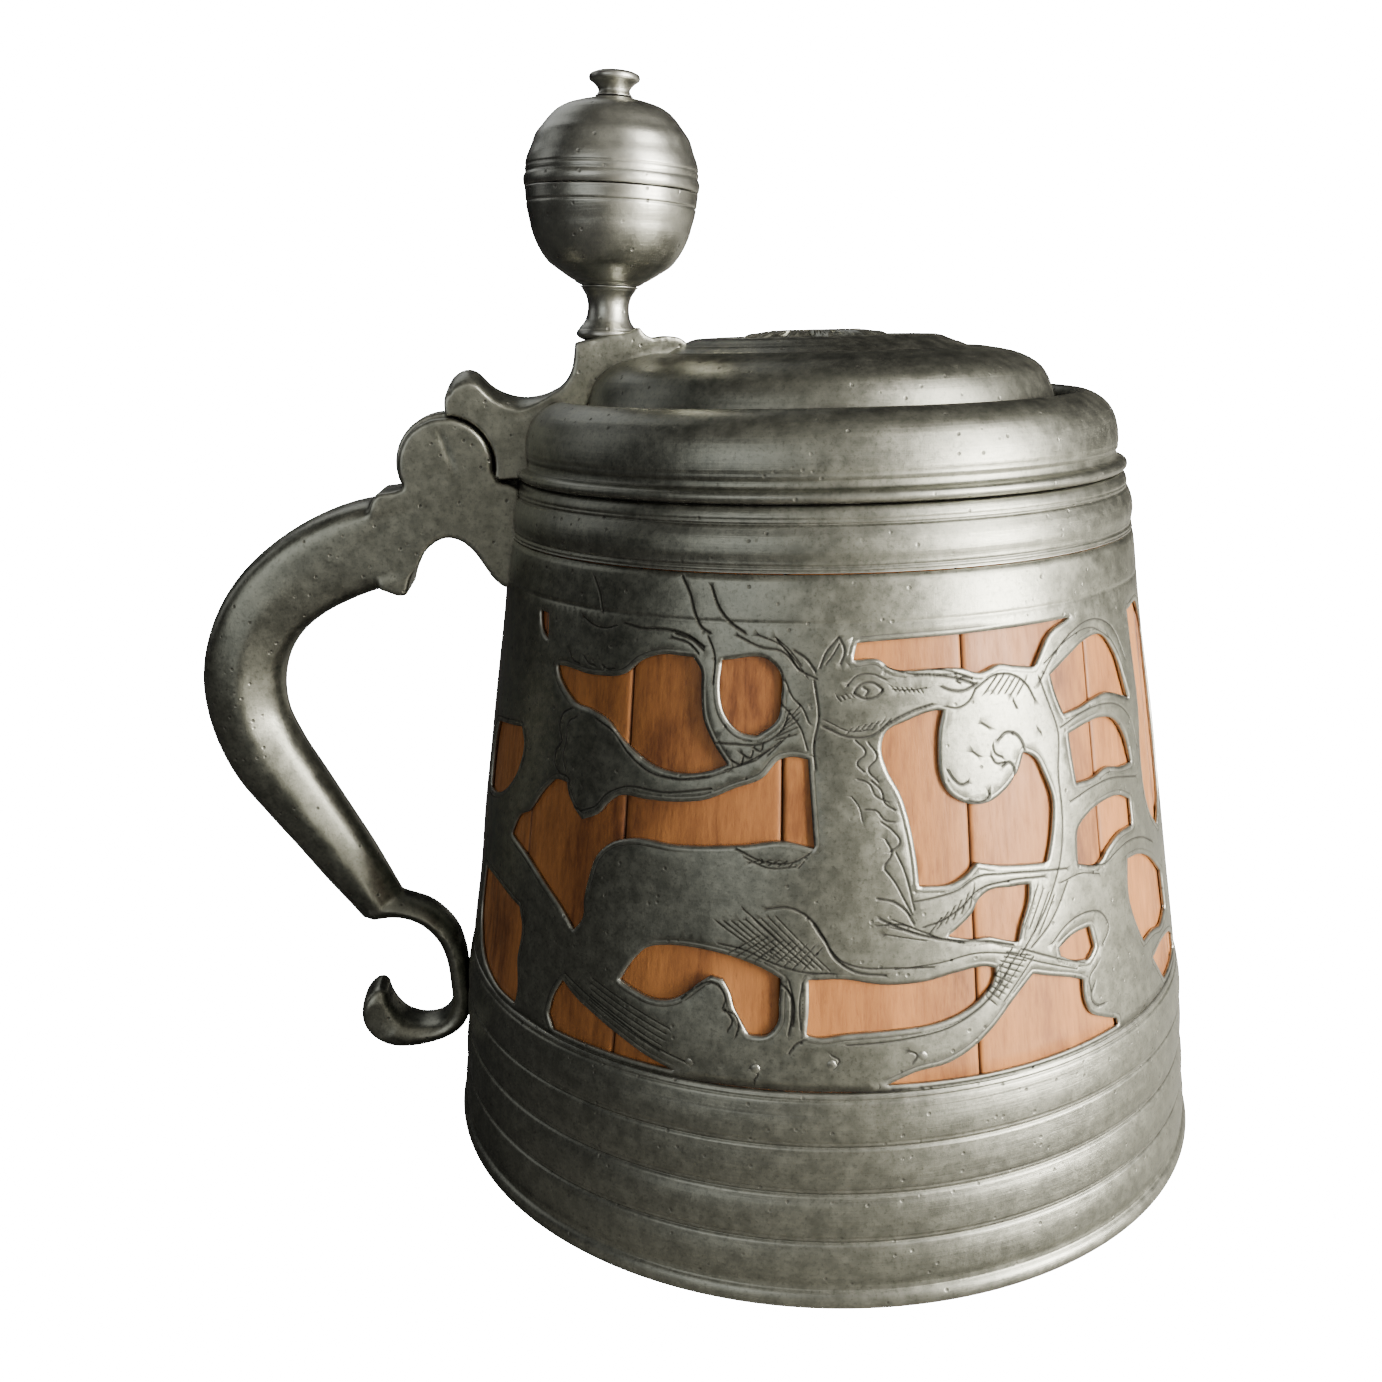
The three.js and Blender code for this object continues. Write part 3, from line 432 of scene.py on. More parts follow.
def pewter_group():
    """Colour, roughness and height of aged pewter from the place, the wear and the dirt."""
    group, given, result = new_group(
        "aged_pewter",
        [("Place", "Vector", None), ("Worn", "Float", 0.0), ("Grimy", "Float", 0.0),
         ("Lathe lines", "Float", 0.5), ("Pits", "Float", 0.5), ("Tarnish", "Float", 0.5)],
        [("Color", "Color"), ("Roughness", "Float"), ("Height", "Float")])
    place = given["Place"]
    clouds = noise(group, place, 26.0, 5.0, 0.6, 0.4)
    mottle = noise(group, place, 330.0, 7.0, 0.72)
    grain = noise(group, place, 1500.0, 3.0, 0.6)
    lines = noise(group, stretched(group, place, (9.0, 9.0, 1500.0)), 1.0, 5.0, 0.75)
    lines_fine = noise(group, stretched(group, place, (30.0, 30.0, 4200.0)), 1.0, 3.0, 0.7)
    strokes = noise(group, stretched(group, place, (420.0, 260.0, 90.0)), 1.0, 4.0, 0.7, 0.6)
    cells = node(group, "TexVoronoi", {"Vector": place, "Scale": 640.0, "Randomness": 1.0})
    chance = node(group, "SeparateColor", {0: cells.outputs["Color"]}).outputs[0]
    chosen = ramp(group, calculate(group, "ADD", chance, calculate(group, "MULTIPLY", clouds, 0.5)),
                  1.08, 1.14)
    pit = calculate(group, "MULTIPLY", chosen, ramp(group, cells.outputs["Distance"], 0.3, 0.1))
    pit = calculate(group, "MULTIPLY", pit, given["Pits"])
    dark_part = ramp(group, clouds, 0.38, 0.68)
    tarnish = calculate(group, "MULTIPLY", dark_part, given["Tarnish"])
    metal = blend_colours(group, ramp(group, mottle, 0.3, 0.72), (0.2, 0.2, 0.165, 1), (0.33, 0.327, 0.27, 1))
    metal = blend_colours(group, calculate(group, "MULTIPLY", tarnish, 0.4), metal, (0.12, 0.123, 0.106, 1))
    metal = blend_colours(group, calculate(group, "MULTIPLY", ramp(group, grain, 0.5, 0.72), 0.5), metal,
                          (0.1, 0.1, 0.084, 1))
    line_shade = ramp(group, lines, 0.3, 0.7)
    line_mask = calculate(group, "MULTIPLY", calculate(group, "SUBTRACT", 1.0, line_shade),
                          given["Lathe lines"])
    metal = blend_colours(group, calculate(group, "MULTIPLY", line_mask, 0.35), metal, (0.17, 0.17, 0.155, 1))
    metal = blend_colours(group, calculate(group, "MULTIPLY", given["Worn"], 0.8, clamp=True), metal,
                          (0.62, 0.61, 0.56, 1))
    dirt = calculate(group, "ADD", given["Grimy"], calculate(group, "MULTIPLY", pit, 0.8), clamp=True)
    metal = blend_colours(group, dirt, metal, (0.035, 0.034, 0.03, 1))
    rough = calculate(group, "ADD", ramp(group, mottle, 0.25, 0.75, 0.31, 0.42),
                      calculate(group, "MULTIPLY", tarnish, 0.08))
    rough = calculate(group, "ADD", rough, calculate(group, "MULTIPLY", dirt, 0.35), clamp=True)
    height = calculate(group, "MULTIPLY", lines, calculate(group, "MULTIPLY", given["Lathe lines"], 0.45))
    height = calculate(group, "ADD", height, calculate(
        group, "MULTIPLY", lines_fine, calculate(group, "MULTIPLY", given["Lathe lines"], 0.12)))
    height = calculate(group, "ADD", height, calculate(group, "MULTIPLY", mottle, 0.35))
    height = calculate(group, "ADD", height, calculate(group, "MULTIPLY", grain, 0.1))
    height = calculate(group, "ADD", height, calculate(group, "MULTIPLY", strokes, 0.2))
    height = calculate(group, "SUBTRACT", height, calculate(group, "MULTIPLY", pit, 0.9))
    for name, value in (("Color", metal), ("Roughness", rough), ("Height", height)):
        group.links.new(value, result[name])
    return group


PEWTER = pewter_group()


def attribute(tree, name):
    """One of the mesh's own attributes, as a socket."""
    return node(tree, "Attribute", attribute_name=name).outputs["Fac"]


def new_material(name, build):
    """A material whose nodes are made by build(tree, place); it returns colour, roughness, normal."""
    material = bpy.data.materials.new(name)
    material.use_nodes = True
    tree = material.node_tree
    tree.nodes.clear()
    place = node(tree, "TexCoord").outputs["Object"]
    shader = node(tree, "BsdfPrincipled")
    build(tree, place, shader)
    node(tree, "OutputMaterial", {"Surface": shader.outputs[0]})
    return material


def pewter_material(name, lathe, pits, tarnish, depth=0.12, rubbed=0.0):
    """Pewter with its own strength of lathe lines, pits, tarnish and rubbing; depth is the bump in mm."""
    def build(tree, place, shader):
        metal = node(tree, "Group", node_tree=PEWTER)
        tree.links.new(place, metal.inputs["Place"])
        for key, value in (("Lathe lines", lathe), ("Pits", pits), ("Tarnish", tarnish)):
            metal.inputs[key].default_value = value
        tree.links.new(calculate(tree, "ADD", attribute(tree, "worn"), rubbed), metal.inputs["Worn"])
        tree.links.new(attribute(tree, "grimy"), metal.inputs["Grimy"])
        bump = node(tree, "Bump",
                    {"Height": metal.outputs["Height"], "Strength": 1.0, "Distance": depth * MM})
        tree.links.new(metal.outputs["Color"], shader.inputs["Base Color"])
        rough = calculate(tree, "MULTIPLY", metal.outputs["Roughness"], 1 - 0.2 * rubbed)
        tree.links.new(rough, shader.inputs["Roughness"])
        tree.links.new(bump.outputs[0], shader.inputs["Normal"])
        shader.inputs["Metallic"].default_value = 1.0

    return new_material(name, build)


turned_pewter = pewter_material("turned_pewter", 0.9, 0.6, 0.3)
thumbed_pewter = pewter_material("thumbed_pewter", 0.7, 0.6, 0.15, rubbed=0.45)
cast_pewter = pewter_material("cast_pewter", 0.1, 0.75, 0.25)
engraved_pewter = pewter_material("engraved_pewter", 0.25, 0.6, 0.4)
relief_pewter = pewter_material("relief_pewter", 0.0, 0.9, 0.9)
print("pewter", [m.name for m in bpy.data.materials])


# %% [markdown]
# The staves are a light, fine-grained wood gone orange under old varnish. The grain runs up the stave, so
# the noise is stretched hard along Z. Inside, the staves and the board are coated with dark pitch.

# %% Wood group
def wood_group():
    """Colour, roughness and height of varnished wood with the grain along the place's Z."""
    group, given, result = new_group(
        "varnished_wood",
        [("Place", "Vector", None), ("Tone", "Float", 0.5), ("Light", "Color", (0.75, 0.36, 0.14, 1)),
         ("Dark", "Color", (0.3, 0.1, 0.035, 1))],
        [("Color", "Color"), ("Roughness", "Float"), ("Height", "Float")])
    place = given["Place"]
    shift = node(group, "CombineXYZ", {0: calculate(group, "MULTIPLY", given["Tone"], 0.37), 1: 0.0,
                                       2: calculate(group, "MULTIPLY", given["Tone"], 0.91)}).outputs[0]
    own = node(group, "VectorMath", {0: place, 1: shift}, operation="ADD").outputs[0]
    bands = noise(group, stretched(group, own, (150.0, 150.0, 5.0)), 1.0, 4.0, 0.6, 0.5)
    fibres = noise(group, stretched(group, own, (900.0, 900.0, 14.0)), 1.0, 5.0, 0.7, 0.2)
    pores = noise(group, stretched(group, own, (2600.0, 2600.0, 90.0)), 1.0, 2.0, 0.6)
    stain = noise(group, stretched(group, own, (60.0, 60.0, 24.0)), 1.0, 5.0, 0.65)
    knots = node(group, "TexVoronoi", {"Vector": stretched(group, own, (70.0, 70.0, 42.0)), "Scale": 1.0})
    rare = node(group, "SeparateColor", {0: knots.outputs["Color"]}).outputs[1]
    knot = calculate(group, "MULTIPLY", ramp(group, rare, 0.6, 0.65),
                     ramp(group, knots.outputs["Distance"], 0.2, 0.08))
    shade = calculate(group, "ADD", calculate(group, "MULTIPLY", ramp(group, bands, 0.3, 0.75), 0.45),
                      calculate(group, "MULTIPLY", ramp(group, fibres, 0.35, 0.8), 0.4))
    shade = calculate(group, "ADD", shade, calculate(group, "MULTIPLY", calculate(
        group, "SUBTRACT", given["Tone"], 0.5), 0.35))
    shade = calculate(group, "ADD", shade, ramp(group, stain, 0.46, 0.7, 0.0, 0.55), clamp=True)
    colour = blend_colours(group, shade, given["Light"], given["Dark"])
    colour = blend_colours(group, calculate(group, "MULTIPLY", ramp(group, pores, 0.62, 0.75), 0.35), colour,
                           (0.12, 0.045, 0.02, 1))
    colour = blend_colours(group, calculate(group, "MULTIPLY", knot, 0.85), colour, (0.05, 0.02, 0.01, 1))
    rough = ramp(group, fibres, 0.3, 0.8, 0.42, 0.6)
    height = calculate(group, "SUBTRACT", calculate(group, "MULTIPLY", fibres, -0.6), knot)
    for name, value in (("Color", colour), ("Roughness", rough), ("Height", height)):
        group.links.new(value, result[name])
    return group


WOOD = wood_group()


def wood_material(name, light, dark, turn=(0, 0, 0), attributes=True):
    """Varnished wood. Where the mesh says pitch, a dark, slightly glossy coat covers the grain."""
    def build(tree, place, shader):
        grain = node(tree, "Group", node_tree=WOOD)
        turned_place = node(tree, "Mapping", {"Vector": place, "Rotation": turn}).outputs[0]
        tree.links.new(turned_place, grain.inputs["Place"])
        grain.inputs["Light"].default_value = light
        grain.inputs["Dark"].default_value = dark
        colour, rough = grain.outputs["Color"], grain.outputs["Roughness"]
        if attributes:
            tree.links.new(attribute(tree, "tone"), grain.inputs["Tone"])
            seam = attribute(tree, "seam")
            colour = blend_colours(tree, seam, colour, (0.02, 0.012, 0.008, 1))
            pitch = attribute(tree, "pitch")
            colour = blend_colours(tree, pitch, colour, (0.045, 0.022, 0.012, 1))
            rough = calculate(tree, "SUBTRACT", rough, calculate(tree, "MULTIPLY", pitch, 0.12))
        bump = node(tree, "Bump", {"Height": grain.outputs["Height"], "Strength": 1.0, "Distance": 0.12 * MM})
        tree.links.new(colour, shader.inputs["Base Color"])
        tree.links.new(rough, shader.inputs["Roughness"])
        tree.links.new(bump.outputs[0], shader.inputs["Normal"])
        shader.inputs["Specular IOR Level"].default_value = 0.3
        shader.inputs["Coat Weight"].default_value = 0.05
        shader.inputs["Coat Roughness"].default_value = 0.28

    return new_material(name, build)


stave_wood = wood_material("stave_wood", (0.47, 0.185, 0.055, 1), (0.14, 0.048, 0.016, 1))
pitched_wood = wood_material("pitched_wood", (0.09, 0.045, 0.024, 1), (0.04, 0.02, 0.011, 1),
                             turn=(0, math.radians(90), 0), attributes=False)
print("wood", stave_wood.name, pitched_wood.name)

# %% [markdown]
# ## Turned pewter bands
# The foot band was cast and turned: four soft hoops between double-edged grooves. The upper band repeats
# them once under the rim. Each is one profile carried round the axis, with the grooves cut into it.

# %% Foot band and upper band
ROUND = 512  # points round the large turned pieces
SEAM_Z, SEAM_RADIUS, CONE_SLOPE = 40.7, 77.5, 0.1505
FRIEZE_TOP_Z = 129.6


def cone(z):
    """Radius of the plain cone that the frieze lies on."""
    return SEAM_RADIUS - CONE_SLOPE * (z - SEAM_Z)


def grooved(line, grooves):
    """A line of (radius, z) with turned grooves (z, depth, half-width), each a smooth bell."""
    line = line.copy()
    for z, depth, half in grooves:
        line[:, 0] -= depth * np.exp(-((line[:, 1] - z) / half) ** 2)
    return line


FOOT_OUTSIDE = [(82.0, 0.0), (82.35, 0.4), (82.3, 2.6), (81.9, 3.3), (81.55, 3.9), (81.6, 6.2),
                (81.35, 9.5), (80.75, 12.1), (80.65, 12.5), (80.75, 13.0), (80.75, 16), (80.35, 19.2),
                (79.8, 21.2), (79.7, 21.6), (79.8, 22.1), (79.9, 25), (79.65, 28), (79.3, 30.3),
                (79.25, 30.7), (79.3, 31.2), (79.25, 33.5), (78.7, 37), (77.95, 39.7), (77.6, 40.3)]
FOOT_GROOVES = [(12.5, 0.42, 0.26), (13.6, 0.14, 0.18), (21.6, 0.40, 0.26), (22.7, 0.14, 0.18),
                (30.7, 0.38, 0.26),
                (31.7, 0.12, 0.18), (3.5, 0.2, 0.3), (39.3, 0.25, 0.2)]
foot_line = grooved(soft_line(FOOT_OUTSIDE, 0.22), FOOT_GROOVES)
foot_line = np.vstack([foot_line, [(76.4, 40.35), (76.2, 39.9), (79.6, 1.2), (79.7, 0.05)]])
foot_band = make_mesh("foot_band_turned", *turned(foot_line, ROUND, swell=slow_swell(3, 0.09, 7, 0.07, 0.28)))
mark_wear(foot_band, 3.0)
place_piece(foot_band, "tankard", "pewter", turned_pewter, "foot_band")

UPPER_OUTSIDE = [(64.05, 129.9), (63.85, 130.5), (63.7, 131.4), (63.85, 133.4), (63.5, 135.8), (62.75, 137.6),
                 (62.5, 138.2), (62.35, 139.4), (61.95, 140.3), (61.5, 140.75), (60.5, 140.8)]
UPPER_GROOVES = [(130.15, 0.3, 0.22), (131.0, 0.25, 0.2), (137.9, 0.3, 0.22), (138.7, 0.1, 0.15)]
upper_line = grooved(soft_line(UPPER_OUTSIDE, 0.16), UPPER_GROOVES)
upper_line = np.vstack([upper_line, [(52.2, 140.8), (51.9, 140.5), (51.9, 135.9), (52.3, 135.8),
                                     (52.75, 136.1), (52.75, 139.8), (60.7, 139.8), (62.6, 130.2),
                                     (62.7, 129.95)]])
upper_band = make_mesh("upper_band_turned", *turned(upper_line, ROUND, swell=slow_swell(5, 0.05, 6, 0.05)))
mark_wear(upper_band, 3.0)
place_piece(upper_band, "tankard", "pewter", turned_pewter, "upper_band")

# %% [markdown]
# ## The lid and its medallion
# The lid was cast, turned and soldered up from a stepped dome, a flange and a bead at the edge. Its wall
# follows the dome, so the profile is a loop: over the outside and back underneath.

# %% Lid
LID_OUTSIDE = [(0.0, 165.8), (22.6, 165.8), (22.9, 165.95), (23.1, 167.2), (23.6, 167.6), (25.2, 167.5),
               (27.3, 166.7), (29.6, 165.9), (30.9, 165.3), (32.0, 165.0), (33.2, 165.2), (35.5, 164.9),
               (37.8, 164.5), (40.8, 163.7), (43.5, 162.4), (45.4, 160.9), (46.7, 158.9), (47.5, 156.8),
               (48.2, 154.6), (49.2, 153.0), (50.3, 152.6), (51.0, 153.3), (51.6, 155.2), (52.3, 156.1),
               (53.2, 156.4), (55.0, 156.0), (57.0, 154.9), (58.5, 153.5), (59.6, 151.6), (60.2, 149.6),
               (60.5, 147.3), (60.45, 145.4), (60.2, 144.3), (60.4, 143.7), (61.3, 143.4), (62.2, 142.8),
               (62.35, 142.2), (62.05, 141.5), (61.4, 141.15)]
LID_INSIDE = [(58.4, 141.15), (58.2, 142), (58.2, 149.2), (56.0, 152.6), (53.4, 153.8), (51.4, 150.7),
              (47.0, 150.9), (46.0, 156), (44.6, 159), (41.6, 161), (30, 163.2), (0, 163.5)]
lid_line = soft_line(LID_OUTSIDE, 0.4, corner=70)
lid_line = lid_line[(lid_line[:, 0] > 22) | (np.arange(len(lid_line)) % 8 == 0)]
turn_lines = [(28.4, 0.10, 0.16), (31.2, 0.22, 0.2), (34.0, 0.16, 0.18)]
for radius, depth, half in turn_lines:
    lid_line[:, 1] -= depth * np.exp(-((lid_line[:, 0] - radius) / half) ** 2) * (lid_line[:, 1] > 160)
lid_line = grooved(lid_line, [(144.9, 0.28, 0.2), (146.1, 0.12, 0.16)])
lid_line = np.vstack([lid_line, soft_line(LID_INSIDE, 2.4)])
lid_swell = slow_swell(11, 0.16, 8, 0.09)


def lid_form(t, z):
    """The lid's dents fade out at its edge, which has to meet the rim."""
    return lid_swell(t, z) * np.clip((z - 142) / 8, 0, 1) * (z > 141.5)


LID_FACETS = 360
lid_piece = make_mesh("lid_turned", *turned(lid_line, LID_FACETS, poles=True, swell=lid_form))
mark_wear(lid_piece, 2.2)
place_piece(lid_piece, "lid", "pewter", turned_pewter, "lid")

# %% [markdown]
# The medallion was cast from a carved mould: a rim, a ring of beads and a relief, all rubbed. A plain
# flower of leaves stands here for the old picture. Its height is one function of the radius and the angle.

# %% Medallion
MEDALLION_RADIUS = 22.5


def medallion_height(r, t):
    """Height over the seat: a rim, sixty beads, two rings of leaves with ribs, and a boss in the middle."""
    rim = 1.35 * np.exp(-((r - 21.5) / 0.75) ** 2)
    beads = 0.75 * np.exp(-((r - 19.2) / 0.7) ** 2) * (0.35 + 0.65 * np.cos(30 * t) ** 2)
    outer = np.abs(np.cos(6 * t)) ** 0.6 * (15.8 - 2.2 * np.abs(np.sin(18 * t)) ** 2)
    leaves = 0.7 * np.clip((outer - r) / 2.2, 0, 1) ** 0.6 * np.clip((r - 5.5) / 3, 0, 1)
    ribs = (0.28 * np.cos(np.abs(np.sin(6 * t)) * 22) * np.clip((outer - r) / 4, 0, 1)
            * np.clip((r - 6) / 3, 0, 1))
    inner = 9.2 * np.abs(np.cos(4 * t + 0.4)) ** 0.5
    heart = 1.1 * np.clip((inner - r) / 1.8, 0, 1) ** 0.6
    boss = 1.0 * np.clip(1 - (r / 3.4) ** 2, 0, 1) ** 0.5
    crown = 1.55 * (1 - (r / 21) ** 3)
    worn = 0.12 * np.sin(7 * t + 0.9 * r) * np.sin(0.7 * r - 3 * t)
    return 0.35 + rim + beads + np.where(r < 18, leaves + ribs + heart + boss + worn, 0) + crown * (r < 20.2)


def medallion_points(rings, count):
    """The relief's top on a grid of rings and angles, closed by a straight edge and a flat underside."""
    r = np.linspace(0.25, MEDALLION_RADIUS, rings)[:, None]
    t = (np.arange(count) * 2 * np.pi / count)[None, :]
    z = 166.1 + np.minimum(medallion_height(r + 0 * t, t + 0 * r), 2.9)
    r, t = np.broadcast_arrays(r, t)
    top = np.stack([r * np.cos(t), r * np.sin(t), z], -1)
    edge = np.stack([top[-1, :, 0], top[-1, :, 1], np.full(count, 166.1)], -1)[None]
    points = np.vstack([np.vstack([top, edge]).reshape(-1, 3), [[0, 0, z[0].mean()]], [[0, 0, 166.1]]])
    j = np.arange(count)
    k, last, low = (j + 1) % count, rings * count, (rings + 1) * count
    faces = [grid_faces(rings + 1, count), np.column_stack([np.full(count, low), k, j]),
             np.column_stack([np.full(count, low + 1), last + j, last + k])]
    return points, faces


medallion = make_mesh("medallion_relief", *medallion_points(120, 480))
mark_wear(medallion, 1.6, 1)
place_piece(medallion, "lid", "dark_pewter", relief_pewter, "lid_medallion")

# %% [markdown]
# ## Thumbpiece
# The hollow ball is two cups soldered at a moulding, on a waisted stem, with a button on top. All four
# are turned about one axis that leans a little towards the lid's middle.

# %% Ball thumbpiece
THUMB_FOOT, THUMB_LEAN = (-42.4, 0.0, 169.0), math.radians(3.8)


def leaned(points, faces):
    """Turned points leaned about Y at the thumbpiece's foot."""
    x, z = points[:, 0], points[:, 2] - THUMB_FOOT[2]
    c, s = math.cos(THUMB_LEAN), math.sin(THUMB_LEAN)
    moved = np.column_stack([c * x + s * z + THUMB_FOOT[0], points[:, 1], -s * x + c * z + THUMB_FOOT[2]])
    return moved, faces


def thumb_part(name, outside, inside, grooves, node_name, seed):
    """A turned and leaned part from its outside, from the axis up to the axis."""
    line = grooved(soft_line(outside, 0.2, corner=70), grooves)
    line = np.vstack([line, inside]) if inside else line
    part = make_mesh(name, *leaned(*turned(line, 192, poles=True, swell=slow_swell(seed, 0.05, 6, 0.12))))
    mark_wear(part, 2.4)
    return place_piece(part, "lid", "pewter", thumbed_pewter, node_name)


thumb_part("stem_turned", [(0, 168.4), (6.0, 168.4), (6.25, 168.7), (6.2, 169.5), (5.6, 170.3),
                           (4.6, 171.7), (4.2, 173.2), (4.15, 174.8), (4.6, 176.5), (5.5, 177.8),
                           (5.95, 178.3), (0, 178.35)],
           None, [(169.9, 0.15, 0.14), (177.9, 0.16, 0.14)], "thumb_stem", 21)
thumb_part("ball_lower_turned",
           [(0, 178.6), (6.1, 178.6), (7.8, 179.6), (10.2, 181.1), (12.3, 182.6), (13.6, 184.2),
            (14.5, 185.7), (15.2, 187.2), (15.75, 188.7), (16.1, 190.2), (16.5, 191.7), (16.8, 193.2),
            (16.95, 194.7), (17.1, 196.25)],
           [(15.4, 196.25), (14.8, 191), (13.4, 187.0), (10.6, 183.6), (0, 182.4)],
           [(179.2, 0.2, 0.16), (193.6, 0.22, 0.18)], "ball_lower", 22)
thumb_part("ball_upper_turned",
           [(0, 211.2), (8.6, 209.6), (12.4, 206.2), (14.5, 202.4), (15.4, 196.55), (17.1, 196.55),
            (17.3, 197.3), (17.3, 198.2), (17.0, 199.0), (17.05, 200.0), (16.75, 201.8), (16.0, 203.7),
            (14.9, 206.5), (13.8, 207.9), (12.6, 209.4), (11.15, 210.8), (9.4, 211.8), (7.6, 212.4),
            (5.2, 213.0), (3.8, 213.3), (0, 213.4)],
           None, [(200.3, 0.22, 0.18), (199.0, 0.1, 0.14)], "ball_upper", 23)
thumb_part("button_turned", [(0, 213.65), (3.7, 213.65), (3.35, 214.0), (3.05, 214.6), (3.3, 215.2),
                             (4.2, 216.1), (4.85, 216.6), (4.95, 217.0), (4.8, 217.5), (4.0, 217.95),
                             (0, 218.1)],
           None, [], "ball_button", 24)

# %% [markdown]
# ## Staves and bottom board
# Fourteen staves of uneven width were split from one log, tapered, bevelled and fitted edge to edge. Each
# one is a loop, its section at a height, carried up the stave. Three attributes go to the finish: a tone of
# its own for each stave, the dirty seams along its edges, and the pitch inside.

# %% Staves
STAVE_JOINTS = [3, 29, 54, 80, 105, 131, 157, 182.5, 209, 230.7, 255.2, 282.3, 307.3, 333]
STAVE_TONES = [0.5, 0.7, 0.35, 0.6, 0.45, 0.75, 0.4, 0.8, 0.75, 0.62, 0.25, 0.45, 0.35, 0.55]
STAVE_OUTSIDE = [(78.6, 0.0), (79.3, 1.0), (75.95, 40.2), (76.55, 41.4), (cone(128.4) - 0.9, 128.4),
                 (62.4, 129.6), (60.35, 138.8), (59.9, 139.5)]
INSIDE_FOOT, INSIDE_RIM, STAVE_TOP = 70.4, 52.8, 139.5


def stave_section(first, last, z, outside):
    """The loop round a stave at every height: the outer arc, its worn arrises, and the flat inner face."""
    half = 0.02 / outside
    share = np.concatenate([[0.0, 0.004, 0.014, 0.03], np.linspace(0.06, 0.94, 18),
                            [0.97, 0.986, 0.996, 1.0]])
    drop = np.array([0.75, 0.35, 0.1, 0.02] + [0.0] * 18 + [0.02, 0.1, 0.35, 0.75])
    angle = first + half + (last - first - 2 * half) * share[None, :]
    inner = INSIDE_FOOT + (INSIDE_RIM - INSIDE_FOOT) * z / STAVE_TOP
    back_share = np.linspace(1, 0, 8)[None, :]
    back_angle = first + half + (last - first - 2 * half) * back_share
    radius = np.hstack([outside - drop[None, :], inner + 0 * back_share])
    return radius, np.hstack([angle, back_angle])


def make_stave(number):
    """A stave between two joints, as rings up its height, closed by its two end faces."""
    first = math.radians(STAVE_JOINTS[number])
    last = math.radians((STAVE_JOINTS + [363])[number + 1])
    line = soft_line(STAVE_OUTSIDE, 2.5, corner=20)
    z, outside = line[:, 1:], line[:, :1]
    outside = outside - 0.12 * (1 + math.sin(number * 2.3)) * ((z > 42) & (z < 128))
    radius, angle = stave_section(first, last, z, outside)
    points = np.stack([radius * np.cos(angle), radius * np.sin(angle), z + 0 * radius], -1)
    rows, columns = radius.shape
    ends = [np.arange(columns)[None, ::-1], ((rows - 1) * columns + np.arange(columns))[None]]
    stave = make_mesh(f"stave_split_{number + 1:02d}", points.reshape(-1, 3),
                      [grid_faces(rows, columns), *ends], flat_groups=(1, 2))
    middle, width = (first + last) / 2, last - first
    edge = np.clip((np.abs(angle - middle) / width - 0.488) / 0.012, 0, 1)
    pitch = (radius < outside - 3).astype(float)
    for name, value in (("tone", np.full_like(radius, STAVE_TONES[number])),
                        ("seam", edge), ("pitch", pitch)):
        layer = stave.data.attributes.new(name, "FLOAT", "POINT")
        layer.data.foreach_set("value", value.astype(np.float32).ravel())
    place_piece(stave, "tankard", "stave_wood", stave_wood, f"stave_{number + 1:02d}")


for number in range(len(STAVE_JOINTS)):
    make_stave(number)
board_line = np.array([(0, 11.3), (71.0, 11.3), (71.0, 16.7), (67.5, 16.75), (66.2, 18.4), (65.0, 18.7),
                       (30, 18.7), (0, 18.7)])
board = make_mesh("bottom_board_turned", *turned(board_line, 160, poles=True), flat_groups=(1, 2))
place_piece(board, "tankard", "pitched_wood", pitched_wood, "bottom_board")

# %% [markdown]
# ## The openwork frieze
# A sheet of pewter was sawn and engraved while flat or laid on the wood: a leaping stag in scrolling
# stems. It is drawn here on the unrolled cone, in degrees round the body and millimetres of height. The
# windows are smooth outlines; the engraved strokes become real V grooves, because the triangles have
# points along each stroke. One half of the run is made, then turned by half a turn for the other side.

